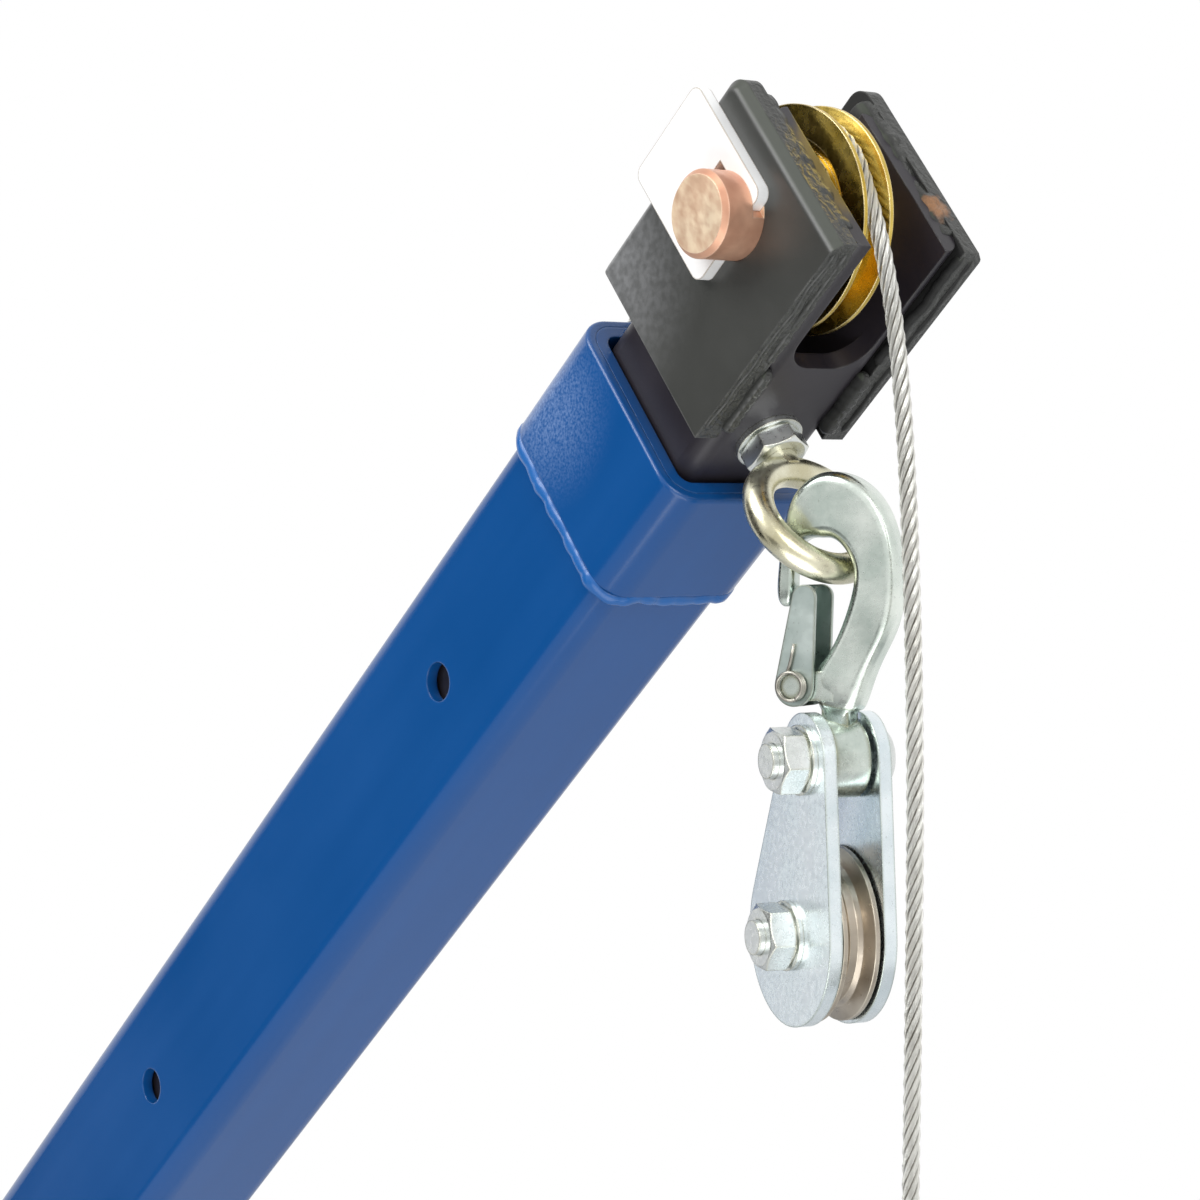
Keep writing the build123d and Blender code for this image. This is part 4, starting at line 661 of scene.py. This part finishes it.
def bead(line, size, closed=False, seed=0.0, pitch=2.4, flat=0.75, rough=1.0):
    """Rippled bead along a line of (point, outward) pairs."""
    vertices, faces = [], []
    count = 10
    gone = 0.0
    points = [p for p, _ in line]
    total = len(points)
    for i, (point, out) in enumerate(line):
        if i:
            gone += (point - points[i - 1]).length
        before = points[(i - 1) % total if closed else max(i - 1, 0)]
        after = points[(i + 1) % total if closed else min(i + 1, total - 1)]
        ahead = (after - before).normalized()
        out = (out - ahead * out.dot(ahead)).normalized()
        side = ahead.cross(out)
        wobble = noise.noise(Vector((gone * 160, seed, 0)))
        wave = abs(math.sin(math.pi * (gone / (pitch * mm) + 0.25 * wobble)))
        ripple = 1 + 0.13 * wave + 0.12 * wobble * rough
        if not closed:
            ends = min(i, total - 1 - i)
            ripple *= min(1.0, 0.35 + 0.2 * ends)
        drift = side * (0.22 * size * rough * noise.noise(Vector((gone * 110, 7.3, seed)))) * mm
        for k in range(count):
            angle = 2 * math.pi * k / count
            spoke = side * math.cos(angle) + out * (math.sin(angle) * flat)
            vertices.append(point + drift + spoke * size * ripple * mm)
    for i in range(total if closed else total - 1):
        for k in range(count):
            a, b = i * count + k, i * count + (k + 1) % count
            c, d = ((i + 1) % total) * count + (k + 1) % count, ((i + 1) % total) * count + k
            faces.append((a, b, c, d))
    if not closed:
        faces.append(tuple(reversed(range(count))))
        faces.append(tuple(range((total - 1) * count, total * count)))
    return vertices, faces


def straight(first, last, out, step=0.6):
    count = max(2, round((last - first).length / (step * mm)))
    return [(first.lerp(last, i / count), out) for i in range(count + 1)]


def ring(centre, axis, radius, out, count=200):
    """Points round an axis; out is the share of the outward direction along the axis."""
    side = axis.orthogonal().normalized()
    other = axis.cross(side)
    line = []
    for k in range(count):
        x, z = polar(1.0, 360 * k / count)
        ray = side * x + other * z
        line.append((centre + ray * radius * mm, ray + axis * out))
    return line


def round_corners(place, half_w, half_v, corner, step=0.5):
    """Points and outward directions round a rounded rectangle; place makes a point from w and v."""
    line = []
    for cw, cv, start in ((1, 1, 0), (-1, 1, 90), (-1, -1, 180), (1, -1, 270)):
        middle = (cw * (half_w - corner), cv * (half_v - corner))
        arc = max(4, round(math.radians(90) * corner / step))
        for i in range(arc + 1):
            x, z = polar(corner, start + 90 * i / arc)
            line.append((middle[0] + x, middle[1] + z))
        nxt = {0: (-1, 1), 90: (-1, -1), 180: (1, -1), 270: (1, 1)}[start]
        x, z = polar(corner, start + 90)
        here = line[-1]
        goal = (nxt[0] * (half_w - corner) + x, nxt[1] * (half_v - corner) + z)
        run = (goal[0] - here[0], goal[1] - here[1])
        count = round(math.hypot(*run) / step)
        line += [(here[0] + run[0] * i / count, here[1] + run[1] * i / count) for i in range(1, count)]
    middle = place(0, 0)
    return [(place(w, v), (place(w, v) - middle).normalized()) for w, v in line]


def weld(name, beads, body, look, slot):
    return add_piece(name, *joined(beads), look, body, slot)


skyward = Vector((0, 0, 1))
forward = Vector((1, 0, 0))
collar_line = round_corners(lambda w, v: boom(953.6, w, v), 26.6, 34.1, 9.6)
collar_bead = weld("collar_weld_bead", [bead(collar_line, 2.3, True, 1.0, 7.0, 0.75, 2.4)], "boom",
                   "blue_weld", "blue_paint")
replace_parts(collar_bead, "collar_weld")

foot_beads = [bead(ring(Vector((0, 0, 10.3)) * mm, skyward, 38.3, 1.0), 2.6, True, 2.0)]
for turn in range(4):
    x, y = polar(1.0, 45 + 90 * turn)
    ray, side = Vector((x, y, 0)), Vector((-y, x, 0))
    for sign in (-1, 1):
        edge = side * (sign * 4.0)
        start, end = (ray * 40 + edge + skyward * 10) * mm, (ray * 103 + edge + skyward * 10) * mm
        foot_beads.append(bead(straight(start, end, side * sign + skyward), 2.4, False, turn + 0.3 * sign))
        start, end = (ray * 38 + edge + skyward * 14) * mm, (ray * 38 + edge + skyward * 128) * mm
        foot_beads.append(bead(straight(start, end, side * sign + ray), 2.4, False, turn + 5 + 0.3 * sign))
weld("base_weld_beads", foot_beads, "base", "blue_weld", "blue_paint")

square = round_corners(lambda x, y: Vector((x, y, 214.3)) * mm, 35.2, 35.2, 8.2)
mast_beads = [bead([(point, out + skyward) for point, out in square], 2.6, True, 3.0)]
for sign in (-1, 1):
    outline = [(-27, 600), (-27, 592)]
    outline += [(-19 + x, 584 + z) for x, z in (polar(8, 180 + 9 * k) for k in range(11))]
    outline += [(-19 + 38 * k / 60, 576) for k in range(1, 60)]
    outline += [(19 + x, 584 + z) for x, z in (polar(8, 270 + 9 * k) for k in range(11))]
    outline += [(27, 592), (27, 600)]
    path = [(Vector((x, sign * 35.3, z)) * mm, Vector((x / 27, sign, -0.8))) for x, z in outline]
    mast_beads.append(bead(path, 2.2, False, 4.0 + sign))
    edge = [Vector((35.3, sign * 22.6, z)) * mm for z in (224, 382)]
    mast_beads.append(bead(straight(*edge, forward + across * sign), 2.2, False, 6.0 + sign))
for z, turn in ((222, -1), (384, 1)):
    edge = [Vector((35.3, y, z)) * mm for y in (-21, 21)]
    mast_beads.append(bead(straight(*edge, forward + skyward * turn), 2.2, False, 8.0 + turn))
weld("mast_weld_beads", mast_beads, "mast", "blue_weld", "blue_paint")

ear_beads = []
for sign in (-1, 1):
    edge = [boom(u, sign * 22.9, -31.2) for u in (383, 486)]
    ear_beads.append(bead(straight(*edge, across * sign - upward * 0.6), 2.7, False, 11.0 + sign))
    edge = [boom(u, sign * 14.4, -32.6) for u in (384, 485)]
    ear_beads.append(bead(straight(*edge, across * -sign - upward), 2.0, False, 13.0 + sign))
weld("bracket_weld_beads", ear_beads, "boom", "blue_weld", "blue_paint")

jack_foot = Vector((90, 0, 329.303)) * mm
jack_angle = 65.924
jack_turn = math.radians(jack_angle)
jack_ahead = Vector((math.cos(jack_turn), 0, math.sin(jack_turn)))
jack_up = Vector((-math.sin(jack_turn), 0, math.cos(jack_turn)))
cylinder_foot = ring(jack_foot + jack_ahead * 74.5 * mm, jack_ahead, 30.2, 1.0)
weld("jack_weld_bead", [bead(cylinder_foot, 2.2, True, 15.0)], "jack", "black_paint", "black_paint")

head_beads, cut_edges = [], []
for sign in (-1, 1):
    edge = [boom(u, sign * 18.4, -27.5) for u in (1022, 1047)]
    head_beads.append(bead(straight(*edge, across * -sign - upward), 2.6, False, 17.0 + sign, 3.2, 0.8, 1.6))
    edge = [boom(1093.6, sign * 19.2, v) for v in (-22, 34)]
    cut_edges.append(bead(straight(*edge, along - across * sign), 4.2, False, 19.0 + sign, 6.0, 0.9, 1.6))
    edge = [boom(u, sign * 21.0, -27.2) for u in (1050, 1096)]
    cut_edges.append(bead(straight(*edge, -upward - across * sign), 1.7, False, 21.0 + sign, 4.4, 0.9, 2.6))
    edge = [boom(u, sign * 25.4, -27.6) for u in (1022, 1095)]
    cut_edges.append(bead(straight(*edge, -upward), 1.3, False, 23.0 + sign, 6.0, 0.8, 3.0))
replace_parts(weld("head_weld_beads", head_beads, "extension", "plate", "black_paint"), "head_welds")
weld("plate_cut_edges", cut_edges, "extension", "plate", "black_paint")


# Small fittings
def pipe(points, radius, sides=10):
    """Round wire along a line."""
    frames = carried_frames(points)
    vertices, faces = [], []
    for point, (_, normal, other) in zip(points, frames):
        for k in range(sides):
            x, z = polar(radius * mm, 360 * k / sides)
            vertices.append(point + normal * x + other * z)
    for i in range(len(points) - 1):
        for k in range(sides):
            a, b = i * sides + k, i * sides + (k + 1) % sides
            faces.append((a, b, b + sides, a + sides))
    faces.append(tuple(reversed(range(sides))))
    faces.append(tuple(range((len(points) - 1) * sides, len(points) * sides)))
    return vertices, faces


def lathe(centre, axis, profile, around=64):
    """Closed profile of (radius, place along the axis) turned about an axis."""
    side = axis.orthogonal().normalized()
    other = axis.cross(side)
    vertices, faces = [], []
    for radius, place in profile:
        for k in range(around):
            x, z = polar(radius, 360 * k / around)
            vertices.append(centre + (side * x + other * z + axis * place) * mm)
    count = len(profile)
    for i in range(count):
        for k in range(around):
            a, b = i * around + k, i * around + (k + 1) % around
            c, d = ((i + 1) % count) * around + (k + 1) % around, ((i + 1) % count) * around + k
            faces.append((a, b, c, d))
    return vertices, faces


def washer(centre, axis, inner, outer, thick):
    soft = 0.35
    return lathe(centre, axis, [(inner, 0.0), (outer - soft, 0.0), (outer, soft), (outer, thick - soft),
                                (outer - soft, thick), (inner, thick)])


def split_pin(centre, axis, through, radius):
    """Split pin through a pin's tail: an eye on one side, two legs bent apart on the other."""
    side = axis.cross(through)
    shape = [(-8.0, -radius - 2.5), (-3.5, -radius - 3.6), (-1.1, -radius - 0.5), (-1.1, radius * 0.5),
             (-1.3, radius + 1.2)]
    eye = [(x, radius + 5.4 + z) for x, z in (polar(4.0, 235 - 36.25 * k) for k in range(9))]
    shape = shape + eye + [(-x, z) for x, z in reversed(shape)]
    return pipe(smooth_line([centre + (side * x + through * z) * mm for x, z in shape], 8), 1.1, 8)


def pin_fastening(name, tail, sizes, stand, through, radius, body):
    """Washer and split pin on a pin's tail; sizes are the washer's."""
    forms = [washer(tail + across * 0.2 * mm, across, *sizes),
             split_pin(tail + across * stand * mm, across, through, radius)]
    add_piece(name, *joined(forms), "bright_zinc", body, "bright_zinc")


jack_washer = (8.3, 14.0, 2.0)
pivot_tail = Vector((0, 43, pivot_height)) * mm
pin_fastening("pivot_pin_fastening", pivot_tail, (12.8, 20.0, 2.5), 7.0, skyward, 12.5, "mast")
lower_tail = jack_foot + across * 22.5 * mm
pin_fastening("lower_pin_fastening", lower_tail, jack_washer, 6.5, forward, 8.0, "mast")
upper_tail = boom(434.396, 22.5, -70)
pin_fastening("upper_pin_fastening", upper_tail, jack_washer, 6.5, along, 8.0, "boom")

wiper = [(14.25, 0.0), (20.0, 0.0), (20.0, 2.2), (18.6, 3.4), (16.0, 3.6), (14.6, 4.6), (14.25, 4.4)]
cap_end = jack_foot + jack_ahead * 442.0 * mm
add_piece("jack_wiper_seal", *lathe(cap_end, jack_ahead, wiper), "black_grip", "jack", "black_grip")


def ribbed(inner, outer, length, pitch, depth):
    """Profile of a ribbed sleeve with a rounded end."""
    profile = [(inner, length)]
    steps = round(length / pitch) * 8
    for i in range(steps, -1, -1):
        place = length * i / steps
        profile.append((outer - depth * (0.5 + 0.5 * math.cos(2 * math.pi * place / pitch)), place))
    return profile + [(outer - depth - 0.8, -1.6), (outer - depth - 3.0, -2.8), (inner * 0.3, -3.2),
                      (inner * 0.3, -0.2), (inner, -0.2)]


handle_end = jack_foot + (jack_ahead * 130.0 - jack_up * 364.0) * mm
sleeve = ribbed(10.05, 13.4, 96.0, 6.0, 1.2)
add_piece("handle_sleeve", *lathe(handle_end, jack_up, sleeve), "black_grip", "pump_lever", "black_grip")
grip_corners = [nodes["crank_grip"].matrix_world @ Vector(c) for c in nodes["crank_grip"].bound_box]
grip_middle = sum(grip_corners, Vector()) / 8
rib = [(13.2, -2.2), (14.1, -2.0), (14.9, -0.9), (15.0, 0.0), (14.9, 0.9), (14.1, 2.0), (13.2, 2.2)]
ribs = []
for index in range(9):
    place = -36.0 + 9.0 * index
    ribs.append(lathe(grip_middle, across, [(radius, place + off) for radius, off in rib]))
add_piece("grip_ribs", *joined(ribs), "black_grip", "crank_grip", "black_grip")

hook_turn = Matrix.Rotation(math.radians(hook_yaw), 3, "Z")


def hook_point(x, y, z):
    return hook_seat + hook_turn @ Vector((x, y, z)) * mm


def hook_shoulder():
    """Rounded taper from the hook's shank into its neck."""
    # Middle x and z of each section, its angle, width and depth
    rows = [(2.1, -35.4, -11, 11.5, 9.5), (1.5, -37.8, -10, 11.5, 9.6), (1.25, -39.3, -8, 10.6, 8.9),
            (1.2, -40.3, -5, 9.2, 7.9), (1.2, -41.6, -2, 8.5, 7.5), (1.2, -44.0, 0, 8.2, 7.35),
            (1.2, -46.0, 0, 7.8, 7.0)]
    vertices, faces = [], []
    around = 40
    for x, z, angle, width, depth in rows:
        run, rise = polar(1.0, angle)
        for k in range(around):
            c, s = polar(1.0, 360 * k / around)
            out = (abs(c) ** 4 + abs(s) ** 4) ** -0.25
            wide, deep = c * out * width / 2, s * out * depth / 2
            vertices.append(hook_point(x + wide * run, deep, z + wide * rise))
    for i in range(len(rows) - 1):
        for k in range(around):
            a, b = i * around + k, i * around + (k + 1) % around
            faces.append((a, a + around, b + around, b))
    faces.append(tuple(range(around)))
    faces.append(tuple(reversed(range((len(rows) - 1) * around, len(rows) * around))))
    return vertices, faces


add_piece("hook_shoulder", *hook_shoulder(), "hook", "block_hook", "bright_zinc")
coil = [hook_point(-10 + x, -7.3 - 1.15 * k / 24, -33 + z) for k, (x, z) in
        ((k, polar(4.0, 120 - 15 * k)) for k in range(61))]
leg = [hook_point(-10.8, -7.2, -27.5), hook_point(-9.4, -7.2, -21.0)]
spring = pipe(smooth_line([*reversed(leg), *coil], 3), 0.5, 8)
add_piece("latch_spring", *spring, "bare_steel", "block_hook_latch", "bare_steel")


# Studio
def floor():
    mesh = bpy.data.meshes.new("floor")
    rim = [polar(2.6, 5 * k) for k in range(72)]
    mesh.from_pydata([(x, y, 0) for x, y in rim], [], [tuple(range(72))])
    look = Look("floor", Roughness=0.9)
    look.set("Base Color", look.mix(look.noise(2.0), (0.80, 0.80, 0.80), (0.84, 0.84, 0.83)))
    mesh.materials.append(look.material)
    ground = bpy.data.objects.new("floor", mesh)
    scene.collection.objects.link(ground)


def card(name, centre, facing, width, height, shade):
    """Dark board seen only in reflections."""
    mesh = bpy.data.meshes.new(name)
    facing = facing.normalized()
    side = Vector((0, 0, 1)).cross(facing).normalized()
    rise = facing.cross(side)
    signs = ((-1, -1), (1, -1), (1, 1), (-1, 1))
    corners = [centre + side * (a * width / 2) + rise * (b * height / 2) for a, b in signs]
    mesh.from_pydata(corners, [], [(0, 1, 2, 3)])
    look = Look(name, Roughness=1.0, Specular_IOR_Level=0.0)
    paler = (shade * 1.2, shade * 1.2, shade * 1.15)
    look.set("Base Color", look.mix(look.noise(1.5), (shade, shade, shade), paler))
    mesh.materials.append(look.material)
    board = bpy.data.objects.new(name, mesh)
    scene.collection.objects.link(board)
    board.visible_camera = False
    board.visible_diffuse = False
    board.visible_shadow = False


def softbox(name, place, target, width, height, power, colour=(1, 1, 1)):
    light = bpy.data.lights.new(name, "AREA")
    light.shape = "RECTANGLE"
    light.size, light.size_y = width, height
    light.energy = power
    light.color = colour
    box = bpy.data.objects.new(name, light)
    scene.collection.objects.link(box)
    box.location = place
    box.rotation_euler = (target - place).to_track_quat("-Z", "Y").to_euler()


def world():
    sky = bpy.data.worlds.new("studio")
    sky.use_nodes = True
    tree = sky.node_tree
    fill = tree.nodes["Background"]
    fill.inputs["Color"].default_value = (0.95, 0.97, 1.0, 1)
    fill.inputs["Strength"].default_value = 0.62
    white = tree.nodes.new("ShaderNodeBackground")
    white.inputs["Color"].default_value = (1, 1, 1, 1)
    white.inputs["Strength"].default_value = 1.0
    path = tree.nodes.new("ShaderNodeLightPath")
    first = tree.nodes.new("ShaderNodeMath")
    first.operation = "MAXIMUM"
    second = tree.nodes.new("ShaderNodeMath")
    second.operation = "MAXIMUM"
    blend = tree.nodes.new("ShaderNodeMixShader")
    link = tree.links.new
    link(path.outputs["Is Camera Ray"], first.inputs[0])
    link(path.outputs["Is Glossy Ray"], first.inputs[1])
    link(first.outputs[0], second.inputs[0])
    link(path.outputs["Is Transmission Ray"], second.inputs[1])
    link(second.outputs[0], blend.inputs[0])
    link(fill.outputs[0], blend.inputs[1])
    link(white.outputs[0], blend.inputs[2])
    link(blend.outputs[0], tree.nodes["World Output"].inputs["Surface"])
    scene.world = sky


floor()
world()
head = boom(mouth, 0, 0)
ray = Vector((*polar(1.0, 224), 0))
card("side_board", head + ray * 6.0, -ray, 4.8, 6.0, 0.02)
ray = Vector((*polar(1.0, 274), 0))
card("low_board", head + ray * 6.0 - skyward * 2.1, -ray, 4.0, 3.3, 0.38)
softbox("key", head + Vector((-0.3, -1.3, 1.3)), head, 1.1, 1.1, 26)
softbox("front", head + Vector((1.5, -0.5, 0.7)), head, 0.8, 0.8, 9)
softbox("under", head + Vector((0.5, -0.6, -0.9)), head, 1.0, 1.0, 7)
scene.view_settings.view_transform = "Standard"
